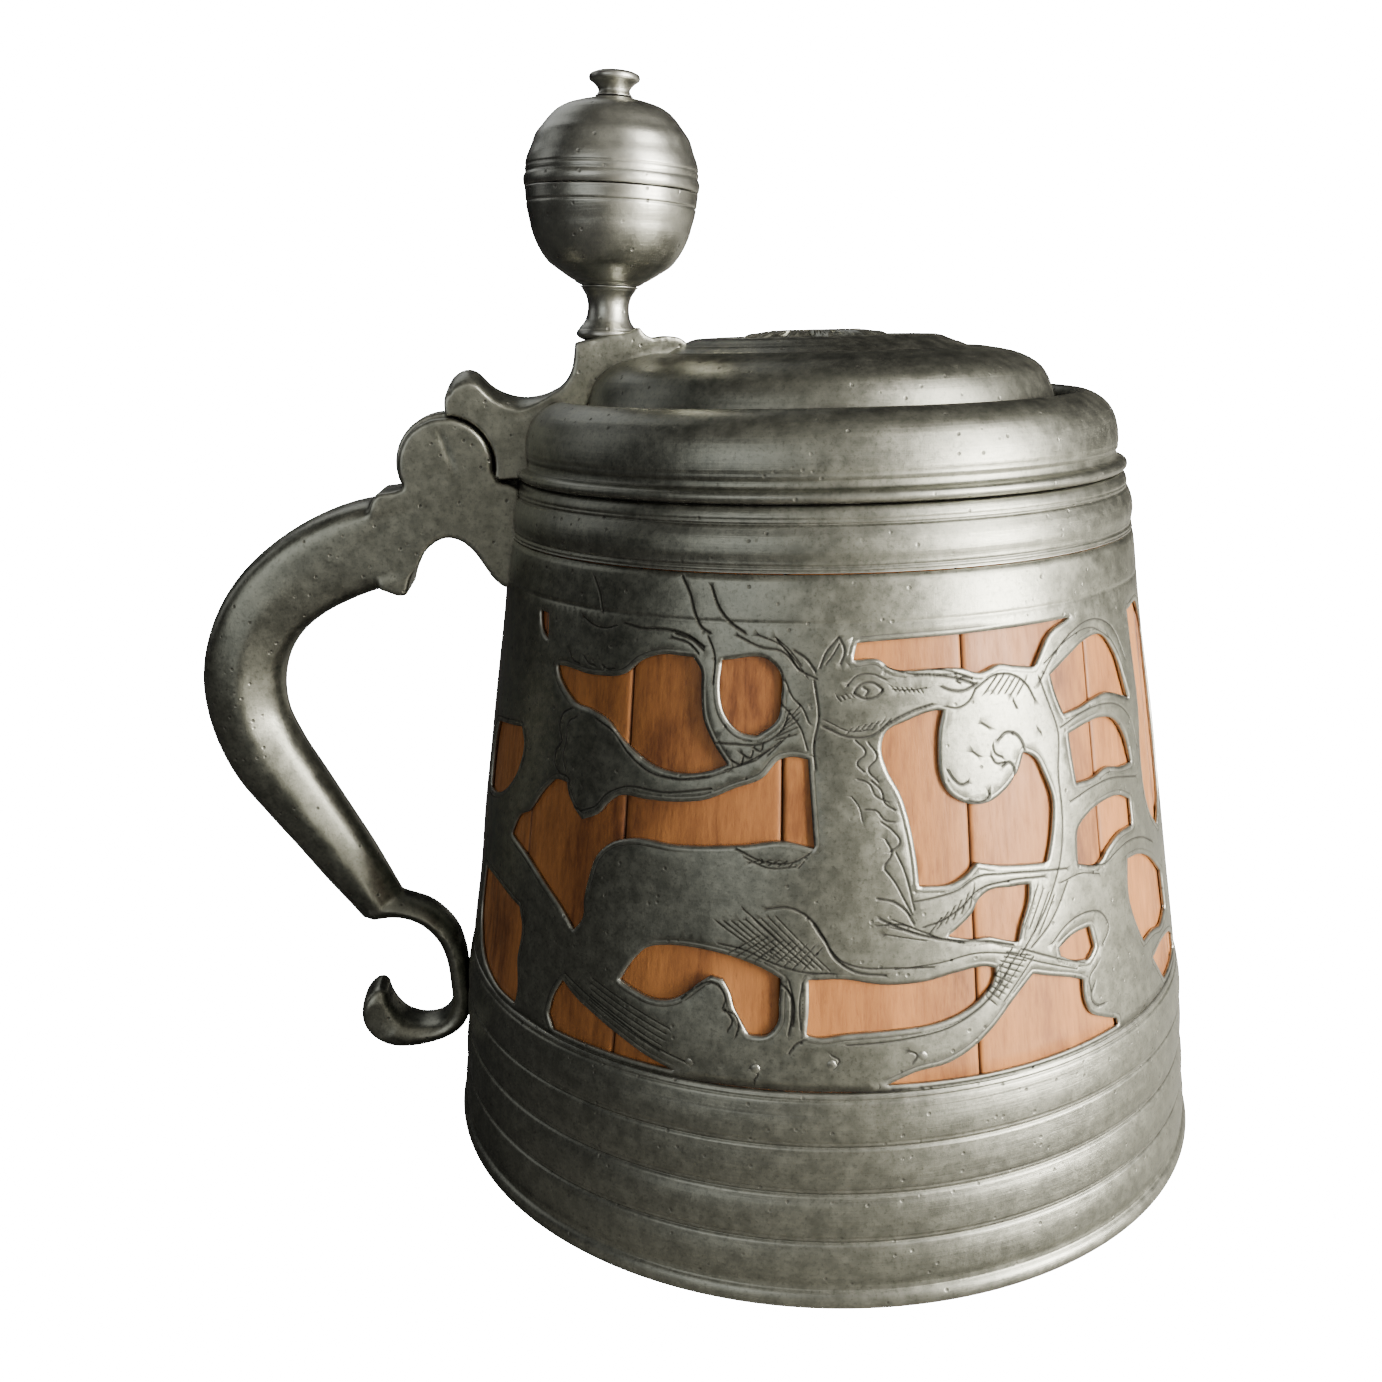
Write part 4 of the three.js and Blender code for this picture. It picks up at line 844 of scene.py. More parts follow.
# %% The drawing
DRAWING_TURN = -10.0
WINDOWS = [
    [(-134.8, 110.2), (-126.3, 110), (-120.1, 111.3), (-117.4, 113.8), (-114, 115.3), (-108.5, 115.4),
     (-107.2, 113.3), (-107, 110), (-106.5, 105), (-104.8, 100.8), (-102.7, 97.3), (-105.8, 95.8),
     (-110.6, 95), (-114.3, 95.7), (-118.1, 97.9), (-120.8, 100), (-122.9, 102.1), (-126.3, 103.5),
     (-130.7, 104.3), (-132.8, 105.8), (-134.8, 107.9), (-135.8, 110)],
    [(-104, 115.2), (-96.5, 115.2), (-95.2, 113.5), (-95, 109), (-95.5, 105.5), (-98.5, 102.5), (-101, 103),
     (-103.5, 106), (-104.3, 110)],
    [(-146.4, 74), (-143.7, 78.8), (-140.6, 80.8), (-137.6, 85), (-135.5, 87.5), (-133.8, 89),
     (-131.1, 89.2), (-130.4, 87), (-129, 85), (-127, 83.3), (-123.6, 85.5), (-122.2, 87.5), (-119.8, 89.5),
     (-115.4, 89.7), (-110.6, 90), (-105.8, 91), (-101.7, 93.3), (-97.6, 95.4), (-94.9, 98.8),
     (-93.2, 99.2), (-91.1, 98.8), (-90.2, 83.5), (-94.2, 84.6), (-100, 83.6), (-109.9, 82.3),
     (-118.1, 81.9), (-121.2, 80.4), (-123.6, 77.5), (-124.8, 73.3), (-125.5, 69.2), (-125.7, 65),
     (-127.5, 62.1), (-129.7, 64.6), (-135.2, 68.8), (-139.9, 71.7)],
    [(-118.4, 55.8), (-116.4, 60), (-114, 63.1), (-110.6, 64.3), (-105.8, 64.6), (-101, 63.9),
     (-96.6, 62.1), (-94.7, 60.8), (-94.9, 56.7), (-95.2, 52.5), (-96.6, 50.4), (-99, 50.2), (-100.3, 53),
     (-101, 54.6), (-101.7, 57.5), (-102.7, 59.6), (-104.4, 60), (-106.1, 58.3), (-107.8, 56.3),
     (-109.9, 54.6), (-113.3, 54), (-116, 54.8)],
    [(-129, 52), (-126.3, 50), (-122.2, 47.9), (-118.1, 45.8), (-113.3, 43.3), (-109, 41.7), (-130.4, 41.5),
     (-131.7, 44), (-130.7, 48.3)],
    [(-91, 60.7), (-86.3, 60.8), (-80.9, 59.6), (-75.4, 59.6), (-70.6, 60.6), (-66.5, 60.8), (-65, 60.2),
     (-65.2, 58.3), (-67.2, 55.4), (-70, 53.3), (-74, 51.9), (-79.5, 51.4), (-86.3, 51), (-89.8, 50.4),
     (-91.3, 50.8), (-91, 55)],
    [(-80.2, 102.9), (-76.8, 105), (-72.7, 106.3), (-71.3, 106.3), (-72, 103.3), (-72.3, 99.2), (-72.1, 95),
     (-71, 92.1), (-68.6, 90), (-65.2, 89.4), (-61.7, 91.3), (-59.4, 94.2), (-58.3, 97.1), (-56.3, 95.8),
     (-54.6, 92.1), (-53.4, 87.5), (-53.7, 83.3), (-54.9, 77.9), (-55.3, 76.7), (-59, 77.3), (-63.8, 78.2),
     (-67.2, 79.3), (-68.9, 77.5), (-70.6, 76.4), (-75.8, 76.3), (-76, 80), (-76.8, 86.7), (-78.1, 92.5),
     (-79.9, 96.7), (-80.7, 100.8)],
    [(-65.8, 74), (-61.7, 74), (-58.7, 73.8), (-59, 70.8), (-60.4, 66.7), (-61.1, 63.8), (-63.1, 64.6),
     (-65.8, 65.8), (-67.9, 65.8), (-72, 67.1), (-70, 68.8), (-68.2, 70.8), (-67.2, 72.9)],
    [(-59, 57.5), (-56.3, 56.3), (-52.2, 54.6), (-49.8, 53.3), (-49.8, 50), (-48.8, 46.7), (-46, 44.6),
     (-43, 42.9), (-42.8, 41.5), (-67.2, 41.4), (-81, 41.7), (-76.8, 43.8), (-72.7, 44.6), (-69.3, 46.4),
     (-65.8, 49.6), (-62.4, 53.8)],
    [(-54.1, 60.8), (-51.5, 62.3), (-47.7, 62.7), (-46.9, 58.3), (-48.4, 56.5), (-51.5, 57.5), (-53.9, 59.2)],
    [(-52.2, 109.6), (-48.1, 112.1), (-43.3, 114.2), (-38.5, 114.2), (-34.4, 110), (-31.7, 103.3),
     (-30.7, 100.4), (-34.4, 102.1), (-38.5, 103.5), (-41.9, 103.3), (-46, 102.5), (-49.8, 102.1),
     (-51.2, 105.8)],
    [(-49.1, 98.5), (-45.4, 99.3), (-41.3, 99.6), (-37.2, 98.3), (-33.7, 94.2), (-31.7, 88.3), (-35.8, 88.8),
     (-40.6, 90), (-44, 89.2), (-48.3, 89.3), (-48.8, 94.2)],
    [(-48.8, 80.8), (-46, 83.3), (-41.9, 84.3), (-37.2, 83.8), (-33.4, 81.7), (-33.4, 76.7), (-38.5, 76.7),
     (-41.9, 75), (-44, 73.3), (-49.1, 74.6), (-49.1, 78.3)],
    [(-36.5, 71.3), (-33, 70.8), (-28, 68.3), (-21, 62), (-20.5, 54), (-25, 52.6), (-29, 53.6), (-33, 53.3),
     (-35.1, 57.5), (-37.2, 65)],
    [(-30, 48.5), (-26, 49.6), (-21, 49), (-14.5, 45), (-14.5, 41.8), (-26, 41.8)],
    [(-84, 118.3), (-81.2, 118.5), (-67.2, 118.8), (-46.5, 118.9), (-52.2, 116.3), (-54.2, 113.3),
     (-55.3, 111.5), (-59, 112.3), (-61.7, 112.9), (-65.5, 111.9), (-67.9, 112.9), (-72.7, 113.3),
     (-79.5, 114.2), (-80.5, 115.2), (-84.6, 115.4)],
    [(-27.5, 116.5), (-21, 117), (-13.5, 110), (-12.5, 92), (-14, 77), (-20, 71), (-24.5, 76), (-27.3, 88),
     (-26.5, 99), (-27, 108)],
    [(-159.1, 62.1), (-150.5, 62.6), (-141.2, 61.3), (-139.9, 58), (-140.5, 51.1), (-139.8, 44.4),
     (-140.4, 41.6), (-147.9, 41.8), (-155.5, 44.8), (-159.2, 50.1)],
    [(-158.9, 93.1), (-145.4, 95.9), (-144.3, 93.6), (-145.3, 88), (-148.2, 83.6), (-157.5, 78.4),
     (-161.4, 77.9), (-161.5, 85.8)],
    [(-142.4, 119.2), (-139.4, 119.1), (-138.9, 114.1), (-141.2, 115.6)],
]


def hatch(first, last, count):
    """count strokes spaced evenly between two strokes given by their ends."""
    a, b = np.array(first, float), np.array(last, float)
    return [(a + (b - a) * k / max(count - 1, 1)).tolist() for k in range(count)]


# Strokes as (half-width in mm, depth in mm, points).
FINE, PLAIN, BOLD = (0.16, 0.15), (0.22, 0.21), (0.31, 0.29)
STROKES = [
    # Head: poll, nose lines, nostril, mouth, jaw, eye and brow.
    (BOLD, [(-80, 114.4), (-76.5, 112.9), (-72, 112.2), (-68.8, 111.3), (-66.2, 110.1)]),
    (PLAIN, [(-79.6, 115.1), (-75, 113.9), (-70.5, 112.9), (-67.2, 111.4)]),
    (BOLD, [(-65.8, 110.2), (-68.2, 109.2), (-70.4, 109.6), (-71.5, 110.2)]),
    (PLAIN, [(-66.8, 111.2), (-68.4, 111.5), (-69.2, 110.9), (-68.5, 110.5)]),
    (PLAIN, [(-71.2, 106.9), (-69, 106.4), (-67.2, 107.4), (-66.1, 109.4)]),
    (BOLD, [(-89, 104.4), (-85.2, 102.6), (-82.2, 102.7), (-79.6, 104.7), (-76, 106.6), (-73, 107.4)]),
    (FINE, [(-88.6, 105.4), (-85.2, 103.6), (-81.9, 103.8)]),
    (BOLD, [(-84.6, 109.9), (-83.8, 111.2), (-82, 111.7), (-80.3, 110.4)]),
    (BOLD, [(-84.6, 109.9), (-82.8, 109.0), (-81.2, 109.4), (-80.3, 110.4)]),
    (BOLD, [(-83.2, 110.9), (-82.5, 110.2), (-82.9, 109.6)]),
    (PLAIN, [(-85.4, 111.4), (-84.2, 112.8), (-82, 113.1), (-79.8, 112.0)]),
    (FINE, [(-79, 110.4), (-76.4, 110.1), (-73.8, 110.3)]),
    # Ears.
    (BOLD, [(-89.4, 114.2), (-88.6, 116.6), (-86.6, 119.4), (-85.8, 117), (-86.4, 115)]),
    (PLAIN, [(-88.6, 114.8), (-87.4, 116.6), (-86.6, 118.2)]),
    (BOLD, [(-90, 113.6), (-91.4, 115.8), (-93.2, 117.2)]),
    (PLAIN, [(-89.8, 112.4), (-92.4, 114.0), (-94, 116.6), (-95.8, 119)]),
    (PLAIN, [(-94.4, 112), (-93.2, 109), (-92, 107.6), (-91, 105)]),
    (PLAIN, [(-95.4, 108.6), (-93.8, 106.6), (-92.2, 104), (-91.2, 100.4)]),
    # Neck, mane and breast.
    (BOLD, [(-90.2, 112), (-89.6, 106), (-90.3, 101), (-90, 97)]),
    (PLAIN, [(-84.4, 102), (-83, 99.8), (-84.2, 98), (-83.2, 96.6)]),
    (PLAIN, [(-82.6, 101.6), (-81.4, 99), (-82.6, 97), (-81.2, 94.8)]),
    (PLAIN, [(-84.2, 95.4), (-82.6, 94.6), (-81.6, 92.4), (-80, 91.4)]),
    (PLAIN, [(-82.2, 95), (-80.8, 93.2), (-80.4, 91.2), (-78.9, 89.8)]),
    (PLAIN, [(-83, 90.2), (-81.6, 89.9), (-80.4, 88.2), (-79, 87.8)]),
    (PLAIN, [(-81, 88), (-79.4, 86.4), (-78.4, 84.2), (-79.8, 82.8)]),
    (PLAIN, [(-80.4, 85), (-79.6, 82.4), (-80.6, 80.6)]),
    (PLAIN, [(-79, 82.6), (-78, 79.8), (-77.2, 76.2), (-76.6, 72.4)]),
    (FINE, [(-85, 92.4), (-84, 90.6), (-83.6, 88.4)]),
    (BOLD, [(-81.8, 74.8), (-79.4, 74), (-77.8, 72.4), (-76.7, 70)]),
    (PLAIN, [(-80.6, 79.8), (-79.2, 77.4), (-78, 74.4), (-76.9, 71.6)]),
    # Haunch, belly and back.
    (BOLD, [(-96.6, 72.9), (-93.9, 73.3), (-91.1, 71.7), (-89.1, 68.3), (-87.4, 64.4), (-85, 62.2),
            (-80.6, 61.2)]),
    (PLAIN, [(-90.4, 70.4), (-88.6, 67), (-86.6, 64), (-84, 62.8), (-79.6, 62.4), (-74, 62)]),
    (FINE, [(-100, 72.6), (-97.4, 70), (-94.4, 66.6), (-90.8, 62.6)]),
    (PLAIN, [(-103.4, 66), (-99.8, 65.4), (-96.2, 63.6), (-92.4, 62.2), (-87.6, 61.8)]),
    (PLAIN, [(-101, 82.8), (-97.2, 81), (-93, 81.2), (-90.8, 82.8)]),
    (FINE, [(-100, 81.6), (-96.6, 80), (-92.8, 80.4)]),
    (PLAIN, [(-81.8, 70), (-78.6, 70), (-75.8, 68.6), (-72.8, 66.8), (-69.6, 65.6)]),
    (BOLD, [(-81.4, 71.2), (-78.4, 69.2), (-75.6, 67.8), (-71, 66.2), (-66.2, 65.2), (-62, 63.6)]),
    (FINE, [(-79.4, 62.2), (-73.6, 62.6), (-67.6, 63.4), (-63.4, 62.4), (-57.6, 59.2), (-51, 55.8)]),
    (PLAIN, [(-76.6, 73.8), (-73.6, 74.2), (-70.4, 75), (-67.4, 76.8), (-63, 76.6), (-57, 75.6),
             (-51.6, 74.6)]),
    (PLAIN, [(-75.4, 69.2), (-72.4, 70.2), (-69.6, 72.2), (-67.4, 74.4), (-62.4, 75.2), (-56, 74.4)]),
    (PLAIN, [(-60.8, 62.6), (-56.4, 60), (-52, 57.6), (-49.4, 56.4)]),
    (BOLD, [(-47.6, 51.6), (-48.4, 49.4), (-47.4, 47.4), (-45.6, 47)]),
    (PLAIN, [(-46.8, 55), (-48.6, 53), (-48.4, 50.6)]),
    # Scroll leaf in front of the muzzle.
    (BOLD, [(-62.7, 99.9), (-61.4, 101.0), (-59.7, 100.6), (-58.3, 98.4), (-58.0, 96.8)]),
    (PLAIN, [(-63.6, 99.2), (-63.3, 97.8), (-62.0, 96.8)]),
    (PLAIN, [(-64.0, 97.4), (-63.2, 96.0), (-61.6, 95.9)]),
    (BOLD, [(-62.2, 95.2), (-61.0, 95.8), (-60.1, 94.3), (-60.4, 92.2), (-61.4, 91.0)]),
    (BOLD, [(-71.0, 95.9), (-70.2, 94.3), (-68.9, 93.1), (-67.8, 93.5)]),
    (BOLD, [(-68.0, 90.2), (-66.0, 89.7), (-64.6, 90.5), (-64.6, 91.5)]),
    (PLAIN, [(-65.4, 103.3), (-64.2, 102.4)]),
    (PLAIN, [(-66.9, 98.5), (-66.0, 97.6)]),
    (PLAIN, [(-59.7, 106.4), (-59.1, 104.9)]),
    (PLAIN, [(-55.4, 100.7), (-54.8, 99.8)]),
    *[(FINE, line) for line in hatch([(-79, 110.8), (-78.5, 110)], [(-74.8, 110.3), (-74.4, 109.5)], 7)],
    *[(FINE, line) for line in hatch([(-87, 109.4), (-86.4, 108.6)], [(-85, 109.9), (-84.6, 109.3)], 4)],
    *[(FINE, line) for line in hatch([(-85.6, 103.2), (-84.8, 104.2)], [(-80, 104.6), (-79.2, 105.6)], 7)],
    (PLAIN, [(-66, 109.4), (-63, 111.2), (-59.6, 110.8), (-57, 108.6), (-55.6, 105.8)]),
    *[(FINE, line) for line in hatch([(-64.6, 108.4), (-62.2, 111.4)], [(-58.8, 107.4), (-57.2, 109.6)], 6)],
    # Stem, its binding and the ribs.
    (PLAIN, [(-54.6, 109.6), (-53, 105), (-51.4, 99.6), (-52, 92), (-51.8, 84), (-52.6, 77), (-55.4, 70),
             (-58.2, 65.4), (-61, 61.4)]),
    (PLAIN, [(-51.6, 72.2), (-53.6, 68.6), (-56, 65.2), (-59, 62.4)]),
    (PLAIN, [(-62.6, 60.4), (-64.4, 57), (-67.4, 53.8), (-72, 51), (-78, 49.8), (-86, 49.2)]),
    *[(FINE, line) for line in hatch([(-59.4, 61), (-63.2, 62.6)], [(-65.4, 53.8), (-67.2, 56.2)], 10)],
    *[(FINE, line) for line in hatch([(-62.2, 63.2), (-66.6, 56.6)], [(-58.8, 60.6), (-64, 53.8)], 4)],
    *[(FINE, line) for line in hatch([(-57.4, 73), (-60, 66.6)], [(-54.4, 70.6), (-57.6, 64.4)], 4)],
    (PLAIN, [(-54.6, 108.6), (-51.6, 112.6), (-47, 116), (-41, 117.4), (-34.6, 114.8), (-30.4, 107.6)]),
    (FINE, [(-53.4, 111.8), (-48.4, 114.9), (-41.4, 116), (-36, 113.2)]),
    (PLAIN, [(-50.6, 100), (-46, 101.4), (-40.6, 101.8), (-35.4, 100.4), (-31.4, 96.8), (-29.4, 91)]),
    (PLAIN, [(-50, 86.4), (-45, 87.6), (-40, 87.8), (-35, 86.6), (-30.6, 85.2)]),
    (PLAIN, [(-46.8, 73.8), (-43, 72.8), (-40, 73.8), (-36, 74.4), (-30.6, 73.2), (-25, 70)]),
    (FINE, [(-53, 72.4), (-48.6, 72.8), (-44.6, 71.4)]),
    (PLAIN, [(-55.4, 62), (-52.6, 64.4), (-48.6, 65.4), (-44.6, 63.8), (-43.4, 60.6), (-45, 58.4)]),
    # Foot of the scroll: the forked leaf, the scallops and the long hatching on the left.
    (BOLD, [(-93.6, 47.4), (-92.6, 49.2), (-91.6, 50)]),
    (BOLD, [(-95.4, 60.6), (-93.6, 58.4), (-93.2, 54.6), (-93.6, 50.8)]),
    (PLAIN, [(-91.8, 60.2), (-92.2, 56), (-92, 51.8)]),
    (PLAIN, [(-93.6, 60.4), (-92.9, 56), (-93, 52.4)]),
    (PLAIN, [(-108.4, 55.2), (-106.4, 57.6), (-104.4, 58.9), (-103, 58.2), (-102.2, 56.4), (-102.4, 54.2),
             (-101, 53.8), (-100.3, 52), (-100.6, 50)]),
    (PLAIN, [(-102.2, 54.4), (-101.2, 52.4), (-101.8, 50.6)]),
    *[(FINE, line) for line in hatch([(-123, 54.6), (-110, 49.4)], [(-123.4, 50.4), (-111.4, 44.8)], 5)],
    (PLAIN, [(-128.4, 53.4), (-124, 51.2), (-118, 48.4), (-112, 45.4), (-107, 43.6)]),
    (PLAIN, [(-98.4, 44.4), (-97.6, 43.4), (-98, 42.4)]),
    (PLAIN, [(-88, 47.4), (-87, 46.4), (-87.6, 45.2)]),
    (PLAIN, [(-77.8, 47.6), (-76.8, 46.8), (-77.4, 45.4)]),
    # Leaf behind the back, and its stem.
    (PLAIN, [(-131, 103), (-133, 101.6), (-133.8, 98.8), (-133, 96.6), (-134.2, 94.4), (-134.3, 91.8),
             (-133, 90.4), (-130.9, 90), (-130.4, 87.6), (-129.6, 85.8), (-127.4, 84.6)]),
    (FINE, [(-129.6, 101.8), (-131.6, 100.2), (-131.8, 96.6), (-132.4, 93.6), (-131.6, 91.4)]),
    (PLAIN, [(-127.4, 84.8), (-124.6, 86.4), (-122.4, 89.2), (-119.6, 91), (-112, 91.4), (-105, 93)]),
    (PLAIN, [(-125.4, 102.2), (-122, 100.6), (-118.6, 97), (-115, 94.6), (-110.4, 94), (-105.4, 95)]),
    (PLAIN, [(-102.2, 98.2), (-100.8, 97.6), (-100.4, 98.9)]),
    (PLAIN, [(-100.6, 99.4), (-99.4, 98.8), (-99, 100)]),
    (PLAIN, [(-99, 100.6), (-97.9, 100), (-97.6, 101.2)]),
    *[(FINE, line) for line in hatch([(-103, 96.4), (-98.6, 98.4)], [(-96.8, 99.4), (-93.8, 103)], 5)],
    (PLAIN, [(-104.6, 101), (-101.6, 101), (-98, 101.2), (-95, 103.6), (-93.8, 107)]),
    # Antlers, up over the edge of the windows.
    (BOLD, [(-110.8, 129), (-109.4, 126), (-108.4, 122.6), (-107.4, 120.6), (-106, 119.6)]),
    (BOLD, [(-105.9, 127.6), (-104.6, 124), (-102.8, 121.6), (-100.6, 120)]),
    (BOLD, [(-127.8, 127.2), (-126.4, 124.4), (-125.6, 121.4)]),
    (PLAIN, [(-130, 120), (-127.4, 118.8), (-124.4, 118.7), (-122.4, 119.4)]),
    (BOLD, [(-121, 120), (-117.6, 119.5), (-113.2, 119.7), (-109.6, 119), (-106.8, 117.2)]),
    (PLAIN, [(-111.6, 119.2), (-108.6, 118.2), (-106.8, 116.6)]),
    (PLAIN, [(-112, 118.4), (-109.2, 117.6), (-107.6, 116)]),
    (PLAIN, [(-106.2, 119), (-105.2, 116.4), (-105.2, 111)]),
    (PLAIN, [(-101.6, 119.4), (-98, 117.6), (-95, 117), (-92.4, 113.8)]),
    (FINE, [(-98.4, 119.6), (-95.4, 118.2), (-93, 115.6), (-91.2, 112.6)]),
    (FINE, [(-96, 119.4), (-93.8, 117.2), (-92, 114.6)]),
    (PLAIN, [(-132.6, 113.2), (-131.8, 111.9), (-130, 111.4)]),
    (PLAIN, [(-129, 112.8), (-128, 111.9), (-126.4, 111.6)]),
    (PLAIN, [(-125, 112), (-123.6, 111.5), (-122.4, 111.8)]),
    # Belly crosshatching, and a few strokes that give the coat.
    *[(FINE, line) for line in hatch([(-103.6, 69.8), (-96.6, 64.4)], [(-95.4, 71.6), (-88.2, 62.4)], 9)],
    *[(FINE, line) for line in hatch([(-101.8, 64.6), (-97.6, 68.2)], [(-91.8, 62.4), (-89.2, 66.4)], 9)],
    *[(FINE, line) for line in hatch([(-74.6, 68), (-72.8, 70.6)], [(-68.6, 71.8), (-67.8, 75)], 6)],
    *[(FINE, line) for line in hatch([(-80.6, 68.4), (-75, 66.8)], [(-79.8, 71), (-77, 69.4)], 3)],
    *[(FINE, line) for line in hatch([(-99.4, 80.6), (-97.4, 81.4)], [(-92.4, 80.2), (-91.6, 81.4)], 6)],
    *[(FINE, line) for line in hatch([(-94.6, 104.6), (-92.2, 108)], [(-95.8, 102), (-92.8, 103)], 5)],
]
print(len(WINDOWS), "windows and", len(STROKES), "strokes in each half of the run")

# %% [markdown]
# A height map of the unrolled half run holds, for every small cell, the distance to the nearest window's
# edge and the depth of the engraving. The mesh then only needs points where the shape changes: on the
# edges, beside them, on the strokes, and thinly over the plain metal. Joining them is a Delaunay net that
# keeps the windows' edges.

# %% Distance and depth maps
PLANE_RADIUS = 71.0  # millimetres per radian on the drawing, about the cone's middle radius
HALF_START = math.radians(-177) * PLANE_RADIUS
HALF_WIDTH = math.pi * PLANE_RADIUS
FRIEZE_LOW_Z = 40.85
SHEET = 0.8  # thickness of the sheet
CELL = 0.09


def unrolled(points):
    """Degrees and height of the drawing as millimetres on the unrolled half."""
    p = np.asarray(points, float)
    return np.column_stack([np.radians(p[:, 0] + DRAWING_TURN) * PLANE_RADIUS, p[:, 1]])


def counter_clockwise(loop):
    """The loop, reversed if its area is negative."""
    x, y = loop.T
    area = np.sum(x * np.roll(y, -1) - np.roll(x, -1) * y)
    return loop if area > 0 else loop[::-1]


window_lines = [counter_clockwise(soft_line(unrolled(w), 0.7, closed=True, corner=48)) for w in WINDOWS]
map_shape = (int(HALF_WIDTH / CELL) + 3, int((FRIEZE_TOP_Z - FRIEZE_LOW_Z) / CELL) + 3)


def nearest_distance(samples, reach):
    """Each cell's distance to the nearest sample, up to reach: every sample updates the cells round it."""
    field = np.full(map_shape, reach, np.float64)
    start = np.floor((samples - (HALF_START, FRIEZE_LOW_Z)) / CELL).astype(int)
    steps = int(reach / CELL) + 1
    for i in range(-steps, steps + 1):
        for j in range(-steps, steps + 1):
            cell = start + (i, j)
            inside = np.all((cell >= 0) & (cell < map_shape), axis=1)
            centre = (HALF_START, FRIEZE_LOW_Z) + (cell[inside] + 0.5) * CELL
            away = np.linalg.norm(samples[inside] - centre, axis=1)
            np.minimum.at(field, tuple(cell[inside].T), away)
    return field


def look_up(field, points):
    """The map's value at points, straight between the four nearest cells."""
    place = (points - (HALF_START, FRIEZE_LOW_Z)) / CELL - 0.5
    base = np.clip(np.floor(place).astype(int), 0, np.array(map_shape) - 2)
    u, v = np.clip(place - base, 0, 1).T
    i, j = base.T
    return ((1 - u) * (1 - v) * field[i, j] + u * (1 - v) * field[i + 1, j]
            + (1 - u) * v * field[i, j + 1] + u * v * field[i + 1, j + 1])


edge_map = nearest_distance(
    np.vstack([soft_line(w, 0.1, closed=True, corner=180) for w in window_lines]), 1.5)
depth_map, dirt_map = np.zeros(map_shape), np.zeros(map_shape)
stroke_lines = []
for (half, depth), stroke in STROKES:
    line = soft_line(unrolled(stroke), 0.36, corner=115)
    stroke_lines.append((half, line))
for style in (FINE, PLAIN, BOLD):
    lines = [soft_line(unrolled(s), 0.06, corner=115)
             for (half, depth), s in STROKES if (half, depth) == style]
    away = nearest_distance(np.vstack(lines), 0.5)
    depth_map = np.maximum(depth_map, style[1] * np.clip(1 - away / style[0], 0, 1))
    dirt_map = np.maximum(dirt_map, np.clip(1.5 * (1 - away / (1.4 * style[0])), 0, 1))
print("maps", map_shape, "deepest stroke", round(float(depth_map.max()), 3))

# %% [markdown]
# The engraver also ran a line just inside most edges. It is a ring in the distance map, so it costs no
# drawing; its strength comes and goes.

# %% Frieze heights
EDGE_LINE, EDGE_LINE_HALF = 0.95, 0.24


def engraving(p):
    """Depth of all engraving at unrolled points: the strokes, or the line that follows the windows' edges."""
    edge = look_up(edge_map, p)
    strength = 0.06 * (1 + np.tanh(2.5 * np.sin(0.11 * p[:, 0] + 0.9) * np.sin(0.17 * p[:, 1] + 0.4) + 0.6))
    ring = strength * np.clip(1 - np.abs(edge - EDGE_LINE) / EDGE_LINE_HALF, 0, 1)
    return np.maximum(look_up(depth_map, p), ring)


def sheet_radius(p, turn):
    """Radius of the sheet's face: the cone, less the worn edge and the engraving, plus slow dents."""
    angle = p[:, 0] / PLANE_RADIUS + turn
    edge = look_up(edge_map, p)
    worn_edge = 0.14 * np.clip(1 - edge / 0.3, 0, 1) ** 2
    border = (0.15 * np.exp(-((p[:, 1] - FRIEZE_TOP_Z) / 0.5) ** 2)
              + 0.1 * np.exp(-((p[:, 1] - FRIEZE_LOW_Z) / 0.4) ** 2))
    border = border + 0.16 * np.exp(-((p[:, 1] - 121.6) / 0.22) ** 2)
    return cone(p[:, 1]) - worn_edge - border - engraving(p) + sheet_swell(angle, p[:, 1])


def sheet_swell(angle, z):
    """Slow hammered dents, which fade out at the top and the foot."""
    fade = np.clip((z - FRIEZE_LOW_Z) / 6, 0, 1) * np.clip((FRIEZE_TOP_Z - z) / 5, 0, 1)
    return fade * frieze_dents(angle, z) - 0.06


frieze_dents = slow_swell(31, 0.13, 18, 0.22)


# %% Points of the net
def inside_loops(points, loops):
    """Whether each point lies in any loop: an odd number of crossings to its right."""
    found = np.zeros(len(points), bool)
    for loop in loops:
        near = np.flatnonzero(np.all((points > loop.min(0)) & (points < loop.max(0)), axis=1))
        x, y = points[near, :1], points[near, 1:]
        a, b = loop, np.roll(loop, -1, 0)
        crosses = (a[:, 1] > y) != (b[:, 1] > y)
        where = (a[:, 0] + (y - a[:, 1]) * (b[:, 0] - a[:, 0])
                 / np.where(b[:, 1] == a[:, 1], 1, b[:, 1] - a[:, 1]))
        found[near] |= (np.sum(crosses & (where > x), axis=1) % 2).astype(bool)
    return found


def beside(line, distance, closed=False):
    """Points of a line moved sideways along its normal."""
    along = np.roll(line, -1, 0) - np.roll(line, 1, 0) if closed else np.gradient(line, axis=0)
    along /= np.maximum(np.linalg.norm(along, axis=1), 1e-9)[:, None]
    return line + distance * np.column_stack([-along[:, 1], along[:, 0]])


side_z = np.linspace(FRIEZE_LOW_Z, FRIEZE_TOP_Z, 60)
end_x = np.linspace(HALF_START, HALF_START + HALF_WIDTH, 181)
border = np.vstack([
    np.column_stack([end_x, np.full(181, FRIEZE_LOW_Z)]),
    np.column_stack([np.full(58, end_x[-1]), side_z[1:-1]]),
    np.column_stack([end_x[::-1], np.full(181, FRIEZE_TOP_Z)]),
    np.column_stack([np.full(58, end_x[0]), side_z[-2:0:-1]])])


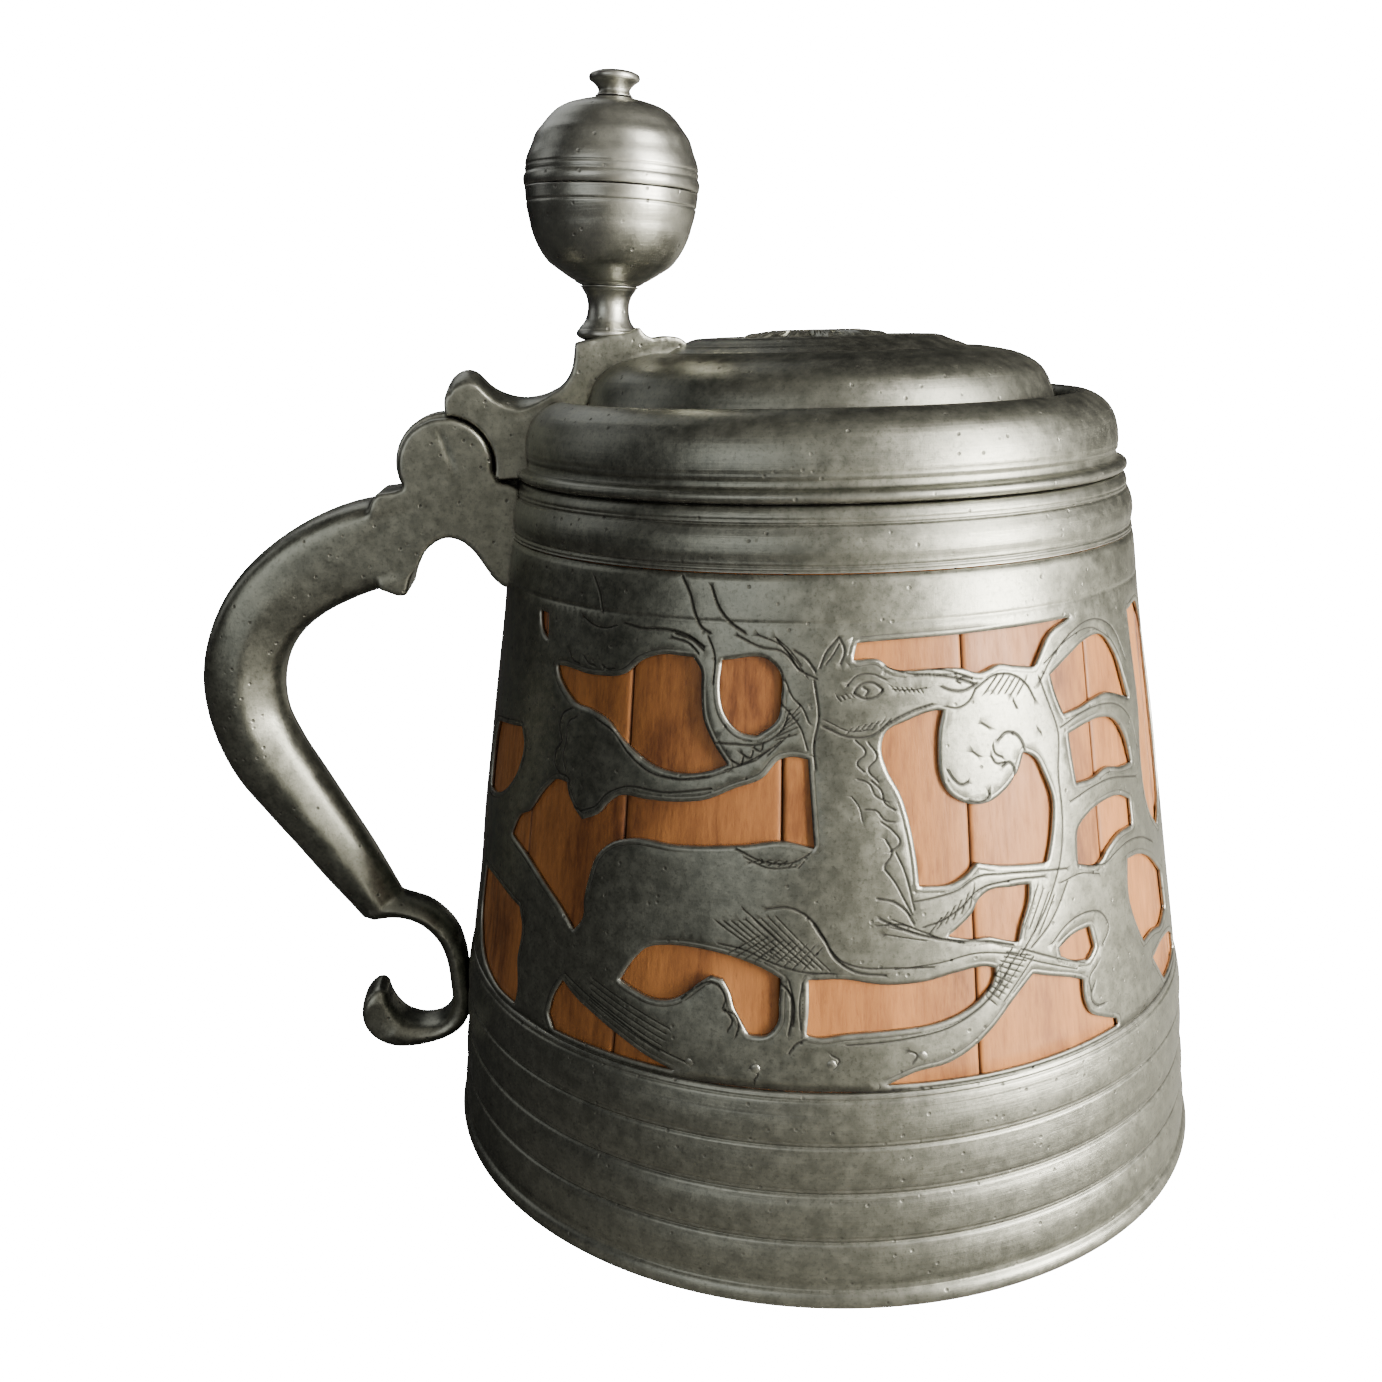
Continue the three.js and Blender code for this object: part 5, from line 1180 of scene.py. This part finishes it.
def sprinkle(spacing, clear):
    """A staggered lattice over the half run, away from windows and, by clear, from edges and strokes."""
    x = np.arange(HALF_START + spacing, HALF_START + HALF_WIDTH - 0.6 * spacing, spacing)
    z = np.arange(FRIEZE_LOW_Z + spacing, FRIEZE_TOP_Z - 0.6 * spacing, 0.87 * spacing)
    gx, gz = np.meshgrid(x, z, indexing="ij")
    gx = gx + 0.5 * spacing * (np.arange(len(z)) % 2)[None, :] * (gx < x[-1])
    lattice = np.column_stack([gx.ravel(), gz.ravel()])
    return lattice[(look_up(edge_map, lattice) > clear) & ~inside_loops(lattice, window_lines)]


def net(extra):
    """Delaunay triangles over the border, the windows' edges and extra points, without the windows.

    Points closer together than a ninth of a millimetre are thinned out, edges first in line to stay.
    """
    loops = [border] + window_lines
    fixed = np.vstack(loops)
    starts = np.concatenate([[0], np.cumsum([len(loop) for loop in loops])])
    constraint = np.vstack([
        np.column_stack([np.arange(len(loop)), (np.arange(len(loop)) + 1) % len(loop)]) + s
        for loop, s in zip(loops, starts)])
    key = np.floor(np.vstack([fixed, extra]) / 0.11).astype(np.int64)
    _, first = np.unique(key[:, 0] * 100003 + key[:, 1], return_index=True)
    kept = np.sort(first[first >= len(fixed)])
    points = np.vstack([fixed, np.vstack([fixed, extra])[kept]])
    made = delaunay_2d_cdt([Vector(p) for p in points.tolist()], constraint.tolist(), [], 0, 1e-5)
    out = np.array([tuple(v) for v in made[0]])
    triangles = np.array(made[2], np.int64)
    centre = out[triangles].mean(1)
    triangles = triangles[~inside_loops(centre, window_lines)]
    a, b, c = (out[triangles[:, k]] for k in range(3))
    area = (b[:, 0] - a[:, 0]) * (c[:, 1] - a[:, 1]) - (c[:, 0] - a[:, 0]) * (b[:, 1] - a[:, 1])
    triangles[area < 0] = triangles[area < 0][:, ::-1]
    return out, triangles[np.abs(area) > 1e-9], starts


EDGE_RINGS = (0.28, 0.74, 0.95, 1.16)
rings = np.vstack([beside(w, -d, True) for w in window_lines for d in EDGE_RINGS])
rings = rings[~inside_loops(rings, window_lines)]
rings = rings[look_up(edge_map, rings) > 0.3]
strokes = np.vstack([line if offset == 0 else beside(line, offset) for half, line in stroke_lines
                     for offset in (0, half, -half, half + 0.13, -half - 0.13)])
strokes = strokes[~inside_loops(strokes, window_lines)]
strokes = strokes[look_up(edge_map, strokes) > 0.22]
TOP_STEP = 0.8
top_x = np.arange(HALF_START + TOP_STEP, HALF_START + HALF_WIDTH - 0.5, TOP_STEP)
top_line = np.vstack([np.column_stack([top_x, np.full(len(top_x), z)]) for z in (121.3, 121.6, 121.9)])
allowed = (strokes[:, 1] > FRIEZE_LOW_Z + 0.3) & (strokes[:, 1] < FRIEZE_TOP_Z - 0.3)
front_points, front_triangles, loop_starts = net(
    np.vstack([strokes[allowed], rings, top_line, sprinkle(1.7, 1.4)]))
back_points, back_triangles, _ = net(sprinkle(5.0, 1.0))
print("front", len(front_points), len(front_triangles), "back", len(back_points), len(back_triangles))


# %% Roll the net round the body
def rolled(p, radius, turn):
    """Unrolled points put round the axis at their radii."""
    angle = p[:, 0] / PLANE_RADIUS + turn
    return np.column_stack([radius * np.cos(angle), radius * np.sin(angle), p[:, 1]])


def frieze_half(turn):
    """Face, back and the walls round the windows and along both borders, for one half of the run."""
    face = rolled(front_points, sheet_radius(front_points, turn), turn)
    back = rolled(back_points, cone(back_points[:, 1]) - SHEET, turn)
    lines = [(0, len(border))] + [(s, len(w)) for s, w in zip(loop_starts[1:], window_lines)]
    walls = []
    for number, (start, count) in enumerate(lines):
        a = start + np.arange(count)
        b = start + (np.arange(count) + 1) % count
        if number == 0:
            level = front_points[a, 1] == front_points[b, 1]
            a, b = b[level], a[level]
        walls.append(np.column_stack([a, b, b + len(face), a + len(face)]))
    return np.vstack([face, back]), [front_triangles, back_triangles[:, ::-1] + len(face)], np.vstack(walls)


halves = [frieze_half(0.0), frieze_half(math.pi)]
shift = len(halves[0][0])
all_points = np.vstack([h[0] for h in halves])
triangles = np.vstack([t + k * shift for k, h in enumerate(halves) for t in h[1]])
walls = np.vstack([h[2] + k * shift for k, h in enumerate(halves)])
_, first, same = np.unique(np.round(all_points * 1000).astype(np.int64), axis=0, return_index=True,
                           return_inverse=True)
same = same.ravel()
frieze = make_mesh("frieze_openwork", all_points[first], [same[triangles], same[walls]])
print("frieze", len(first), "points,", len(triangles) + 2 * len(walls), "triangles")

# %% Frieze wear
# Worn arrises come from the distance to an edge, dirt from the depth of the cut.
flat_place = np.vstack([front_points, back_points])
edge_near = np.clip(1 - look_up(edge_map, flat_place) / 0.3, 0, 1)
cut = np.clip(engraving(flat_place) / 0.1, 0, 1)
low_dirt = np.exp(-((flat_place[:, 1] - FRIEZE_LOW_Z) / 0.5) ** 2)
for name, value in (
        ("worn", 0.4 * edge_near * (1 - cut)),
        ("grimy", np.clip(np.maximum(look_up(dirt_map, flat_place), 0.8 * cut) + 0.7 * low_dirt, 0, 1))):
    layer = frieze.data.attributes.new(name, "FLOAT", "POINT")
    layer.data.foreach_set("value", np.tile(value, 2)[first].astype(np.float32))
place_piece(frieze, "tankard", "pewter", engraved_pewter, "frieze")

# %% [markdown]
# ## Castings: the handle and the lid's strap
# Both were cast in one piece and filed, so their parts flow into each other with soft fillets. Slabs and
# a lofted grip are made overlapping, then a voxel remesh fuses them into one skin and a light smoothing
# gives the fillets and the rubbed arrises. Side views are in (distance from the axis, height).

# %% Slabs and fusing
HINGE_D, HINGE_Z = 76.0, 144.6


def arc(radius, first, last, count):
    """Points round the hinge; the angle runs from straight up, towards the body."""
    a = np.radians(np.linspace(first, last, count))
    return np.column_stack([HINGE_D - radius * np.sin(a), HINGE_Z + radius * np.cos(a)])


def slab(outline, low, high, bevel, spread=None):
    """An outline between two y values, closed by caps; rings inset by bevel (1 - sin a) round its arrises."""
    loop = counter_clockwise(np.asarray(outline, float))
    a = np.radians(np.linspace(0, 90, 5))
    inset = bevel * (1 - np.sin(a))
    rise = bevel * (1 - np.cos(a))
    insets = np.concatenate([inset, inset[::-1]])
    heights = np.concatenate([low + rise, high - rise[::-1]])
    rings = np.stack([beside(loop, d, True) for d in insets])
    y = np.repeat(heights[:, None], len(loop), axis=1)
    if spread is not None:
        y = y * spread(rings[..., 0])
    points = np.stack([-rings[..., 0], y, rings[..., 1]], -1).reshape(-1, 3)
    rows, columns = rings.shape[:2]
    caps = [np.arange(columns)[None, ::-1], ((rows - 1) * columns + np.arange(columns))[None]]
    return points, [grid_faces(rows, columns), *caps]


def fused(name, shells, voxel, smoothing):
    """Overlapping closed shells joined by a voxel remesh, smoothed, and made a plain mesh again."""
    points, faces, start = [], [], 0
    for shell_points, shell_faces in shells:
        if six_volumes(shell_points, shell_faces) < 0:
            shell_faces = [group[:, ::-1] for group in shell_faces]
        points.append(shell_points)
        faces += [group + start for group in shell_faces]
        start += len(shell_points)
    piece = make_mesh(name, np.vstack(points), faces)
    remesh = piece.modifiers.new("fuse", "REMESH")
    remesh.mode, remesh.voxel_size, remesh.adaptivity = "VOXEL", voxel * MM, 0.0
    soften = piece.modifiers.new("soften", "SMOOTH")
    soften.factor, soften.iterations = 0.5, smoothing
    evaluated = piece.evaluated_get(bpy.context.evaluated_depsgraph_get())
    mesh = bpy.data.meshes.new_from_object(evaluated)
    piece.modifiers.clear()
    piece.data = mesh
    mesh.polygons.foreach_set("use_smooth", np.ones(len(mesh.polygons), bool))
    return piece


def reshape(piece, change):
    """Moves a mesh's points, in millimetres, by a function of them all."""
    co = np.empty(len(piece.data.vertices) * 3, np.float32)
    piece.data.vertices.foreach_get("co", co)
    moved = change(co.reshape(-1, 3).astype(float) / MM)
    piece.data.vertices.foreach_set("co", (moved * MM).astype(np.float32).ravel())
    piece.data.update()


# %% [markdown]
# The grip is an S in the plane of the handle. Its section is a rounded slab at the top; lower down each
# cheek rises to a soft ridge, which catches a long line of light.

# %% Handle
EAR_RADIUS, EAR_OUTSIDE, SLOT_HALF = 9.3, 9.0, 4.5
GRIP = np.array([  # distance, height, thickness in the plane, width across, ridge
    (87.0, 129.4, 18.2, 17.8, 0.0), (94.0, 128.2, 18.3, 17.4, 0.0), (101.0, 125.7, 18.1, 17.0, 0.05),
    (108.0, 121.9, 17.5, 16.6, 0.12), (114.4, 116.4, 16.9, 16.3, 0.25), (118.9, 109.5, 16.5, 16.1, 0.4),
    (121.2, 101.5, 16.6, 16.0, 0.6), (120.9, 93.0, 16.6, 15.9, 0.8), (118.0, 84.5, 16.3, 15.6, 0.6),
    (113.1, 76.0, 15.3, 15.0, 0.6), (107.9, 67.4, 13.9, 14.0, 0.6), (102.8, 58.8, 12.6, 13.0, 0.6),
    (98.0, 50.4, 11.3, 12.0, 1.0), (96.6, 47.9, 10.8, 11.0, 1.0)])
LOWER_ARM = np.array([
    (99.6, 48.0, 6.0, 11.0, 0.8), (95.0, 48.5, 6.2, 11.4, 0.8), (91.3, 47.6, 5.5, 11.4, 0.8),
    (87.8, 46.0, 5.4, 11.4, 0.7), (85.0, 43.4, 5.2, 11.2, 0.6), (83.0, 40.4, 5.0, 11.2, 0.5),
    (81.8, 36.5, 4.6, 11.2, 0.4), (81.2, 30.0, 4.3, 11.2, 0.3), (81.2, 24.5, 4.4, 11.2, 0.3),
    (82.6, 20.6, 4.6, 11.2, 0.3), (85.6, 18.4, 4.5, 11.2, 0.4), (89.2, 17.6, 5.0, 11.4, 0.4),
    (93.2, 17.8, 6.2, 11.8, 0.3), (96.8, 19.2, 7.6, 12.2, 0.2), (99.2, 22.0, 8.0, 12.2, 0.1),
    (99.7, 25.2, 6.8, 11.4, 0.1), (99.0, 27.6, 4.6, 10.2, 0.1), (98.0, 28.9, 2.2, 8.4, 0.1)])


def bar_shell(stations, step=0.9):
    """Rings square to a line. Across c = cos a, the half width is a flat oval or, by ridge, a roof."""
    line = soft_line(stations, step, corner=180)
    along = np.gradient(line[:, :2], axis=0)
    along /= np.linalg.norm(along, axis=1)[:, None]
    a = np.linspace(0, 2 * np.pi, 72, endpoint=False)[None, :]
    c, s = np.cos(a), np.sin(a)
    across = np.sign(c) * np.abs(c) ** 0.8
    thick, wide, ridge = line[:, 2:3], line[:, 3:4], line[:, 4:5]
    flat_side = np.sign(s) * (1 - np.abs(across) ** 6) ** (1 / 3)
    roof_side = np.sign(s) * np.clip(0.34 * (1 - np.abs(across) ** 6) ** 0.5
                                     + 0.66 * (1 - np.sqrt(across ** 2 + 0.012)), 0, 1) * 1.06
    side = (1 - ridge) * flat_side + ridge * roof_side
    d = line[:, :1] + 0.5 * across * thick * along[:, 1:]
    z = line[:, 1:2] - 0.5 * across * thick * along[:, :1]
    points = np.stack([-d, 0.5 * side * wide, z], -1).reshape(-1, 3)
    rows, columns = len(line), 72
    caps = [np.arange(columns)[None, ::-1], ((rows - 1) * columns + np.arange(columns))[None]]
    return points, [grid_faces(rows, columns), *caps]


ARCH = [(62, 119.6), (65.4, 119.5), (67.4, 121.0), (69.3, 123.8), (71.2, 126.8), (73.6, 129.2), (76.5, 130.1),
        (79.6, 128.9), (82.0, 126.4), (83.9, 123.2), (84.9, 120.6), (85.4, 118.7), (87.2, 118.6)]
STEP = [(91.0, 120.2), (91.6, 130), (91.0, 138.2), (90.2, 139.3), (87.6, 139.7), (84.8, 140.3)]
ear_outline = np.vstack([soft_line(ARCH, 0.6, corner=60), soft_line(STEP, 0.6, corner=60),
                         arc(EAR_RADIUS, -115, 98, 48), [(65.6, 140.9), (63.2, 140.4), (61.4, 139.6)]])
root_outline = np.vstack([soft_line(ARCH, 0.6, corner=60), soft_line(STEP, 0.6, corner=60),
                          arc(10.55, -117, -240, 30), [(64.6, 140.2), (61.4, 139.6)]])
handle = fused("handle_cast", [
    slab(root_outline, -SLOT_HALF - 0.3, SLOT_HALF + 0.3, 0.3),
    slab(ear_outline, SLOT_HALF, EAR_OUTSIDE, 0.45),
    slab(ear_outline, -EAR_OUTSIDE, -SLOT_HALF, 0.45), bar_shell(GRIP), bar_shell(LOWER_ARM, 0.6)], 0.5, 7)


def ear_scratch(p):
    """An old gash in the near ear's face: the face sinks by up to a third of a millimetre along a line."""
    start, end = np.array([76.6, 151.2]), np.array([74.1, 143.4])
    place = np.column_stack([-p[:, 0], p[:, 2]])
    t = np.clip((place - start) @ (end - start) / np.sum((end - start) ** 2), 0, 1)
    away = np.linalg.norm(place - (start + t[:, None] * (end - start)), axis=1)
    depth = 0.38 * np.clip(1 - away / 0.75, 0, 1) * (p[:, 1] < -8) * np.sin(np.pi * (0.15 + 0.8 * t))
    p[:, 1] += depth
    return p


def terminal_hollow(p):
    """The scroll's end is dished like a spoon on both cheeks."""
    away = np.linalg.norm(np.column_stack([-p[:, 0] - 98.9, p[:, 2] - 22.4]), axis=1)
    p[:, 1] -= np.sign(p[:, 1]) * 0.7 * np.clip(1 - (away / 4.2) ** 2, 0, 1)
    return p


def flush_cheeks(p):
    """The ears' cheeks run flush into the grip: towards it both are set to one half width."""
    d = -p[:, 0]
    middle = np.interp(d, [80, 87, 94], [130.2, 129.4, 128.2])
    half = np.interp(d, [81, 92], [EAR_OUTSIDE, 8.72])
    share = np.clip((7.4 - np.abs(p[:, 2] - middle)) / 1.6, 0, 1) * np.clip((d - 79) / 4, 0, 1)
    share = share * np.clip((95 - d) / 4, 0, 1) * (np.abs(p[:, 1]) > 7.2)
    p[:, 1] += share * (np.sign(p[:, 1]) * half - p[:, 1])
    return p


reshape(handle, flush_cheeks)
reshape(handle, ear_scratch)
reshape(handle, terminal_hollow)
mark_wear(handle, 0.7, 5)
place_piece(handle, "tankard", "pewter", cast_pewter, "handle")

# %% [markdown]
# The strap's knuckle turns between the ears. It rises in a curl, runs over a saddle to a pedestal for the
# thumbpiece, and ends as a tongue on the dome. Its underside follows the lid, just inside its wall.

# %% Lid strap
STRAP_TOP_LINE = [(75.3, 154.5), (75.5, 156.6), (75.0, 159.2), (73.3, 161.9), (70.4, 162.9), (69.0, 162.4),
                  (67.8, 161.3), (66.3, 159.7), (63.5, 158.1), (59.8, 157.2), (55.5, 157.7), (52.6, 158.8),
                  (50.9, 160.5), (49.9, 162.6), (49.4, 165.2), (49.1, 167.6), (42.8, 168.9), (37.3, 169.9),
                  (36.3, 170.5), (35.2, 169.0), (34.2, 168.4), (30.6, 168.5), (28.0, 168.0), (26.6, 167.0)]
STRAP_UNDERSIDE = [(26.6, 166.2), (30.9, 164.4), (37.6, 163.7), (43, 161.5), (44.8, 160.2), (46.7, 156.6),
                   (47.4, 154.4), (48.6, 152.6), (50.2, 151.8), (51, 152.2), (52.2, 154.8), (53.2, 155.6),
                   (54.8, 155.2), (57.8, 152.8), (59.2, 149.4), (59.3, 145.4), (59.4, 142.6), (60.6, 141.4),
                   (63.2, 141.35), (66.7, 141.3)]
STRAP_BEVEL = 0.4
strap_outline = np.vstack([
    soft_line(STRAP_TOP_LINE, 0.5, corner=55), STRAP_UNDERSIDE[:-1], arc(9.85, 110, 5, 30)])


def strap_spread(d):
    """The strap narrows from the pedestal to the tip of its tongue."""
    return np.interp(d, [24, 27, 31, 36, 48, 54], [0.28, 0.5, 0.66, 0.8, 0.92, 1.0])


strap = fused("strap_cast", [slab(strap_outline, -8, 8, STRAP_BEVEL, strap_spread),
                             slab(arc(10.2, 0, 354, 60), -4.2, 4.2, 0.3)], 0.42, 4)


def crowned(p):
    """The strap's top falls away towards its long edges, less and less below the top line."""
    top = np.interp(-p[:, 0], *np.array(sorted(STRAP_TOP_LINE)).T)
    near_top = np.clip(1 - (top - p[:, 2]) / 6, 0, 1) * np.clip((75.6 + p[:, 0]) / 1.5, 0, 1)
    near_top = near_top * np.clip((-p[:, 0] - 54.0) / 7, 0, 1)
    p[:, 2] -= 2.4 * np.abs(p[:, 1] / 8) ** 2.6 * near_top
    return p


reshape(strap, crowned)
mark_wear(strap, 1.5, 5)
place_piece(strap, "lid", "pewter", cast_pewter, "lid_strap")

# %% [markdown]
# Pins are drawn wire, cut and peened. The hinge pin shows on the far ear, the frieze's pins along its foot.

# %% Pins
def peg(name, base, direction, radius, length, material, slot, node_name):
    """A turned pin from base along a direction, with a low dome where it was peened."""
    line = np.array([(0, 0), (radius * 0.9, 0), (radius, radius * 0.1), (radius, length - 0.3),
                     (radius * 0.92, length - 0.1), (radius * 0.6, length + 0.06), (0, length + 0.1)])
    points, faces = turned(line, 48, poles=True)
    turn = np.array(Vector(direction).to_track_quat("Z", "Y").to_matrix())
    pin = make_mesh(name, points @ turn.T + np.array(base), faces)
    mark_wear(pin, 1.2, 1)
    return place_piece(pin, "tankard", slot, material, node_name)


pin_iron = pewter_material("pin_iron", 0.0, 0.9, 1.0)
peg("hinge_pin_peened", (-HINGE_D, -8.0, HINGE_Z), (0, 1, 0), 2.5, 16.9, pin_iron, "pin_metal", "hinge_pin")
FRIEZE_PINS = [(-108, 44.2), (-98, 45.6), (-86, 46.4), (-117, 43.8)]
for number, (degrees, z) in enumerate(FRIEZE_PINS):
    along = np.array([math.cos(math.radians(degrees)), math.sin(math.radians(degrees)), 0.0])
    peg(f"frieze_pin_peened_{number + 1}", along * (cone(z) - 5) + (0, 0, z), along, 1.05, 4.95,
        engraved_pewter, "dark_pewter", f"frieze_pin_{number + 1}")

# %% [markdown]
# ## Measure and finish
# The triangles of every shown mesh are counted and printed.

# %% Finish
bpy.context.view_layer.update()
triangle_count = sum(len(o.data.loops) - 2 * len(o.data.polygons) for o in bpy.data.objects
                     if o.type == "MESH" and not o.hide_render)
print("triangles", triangle_count)
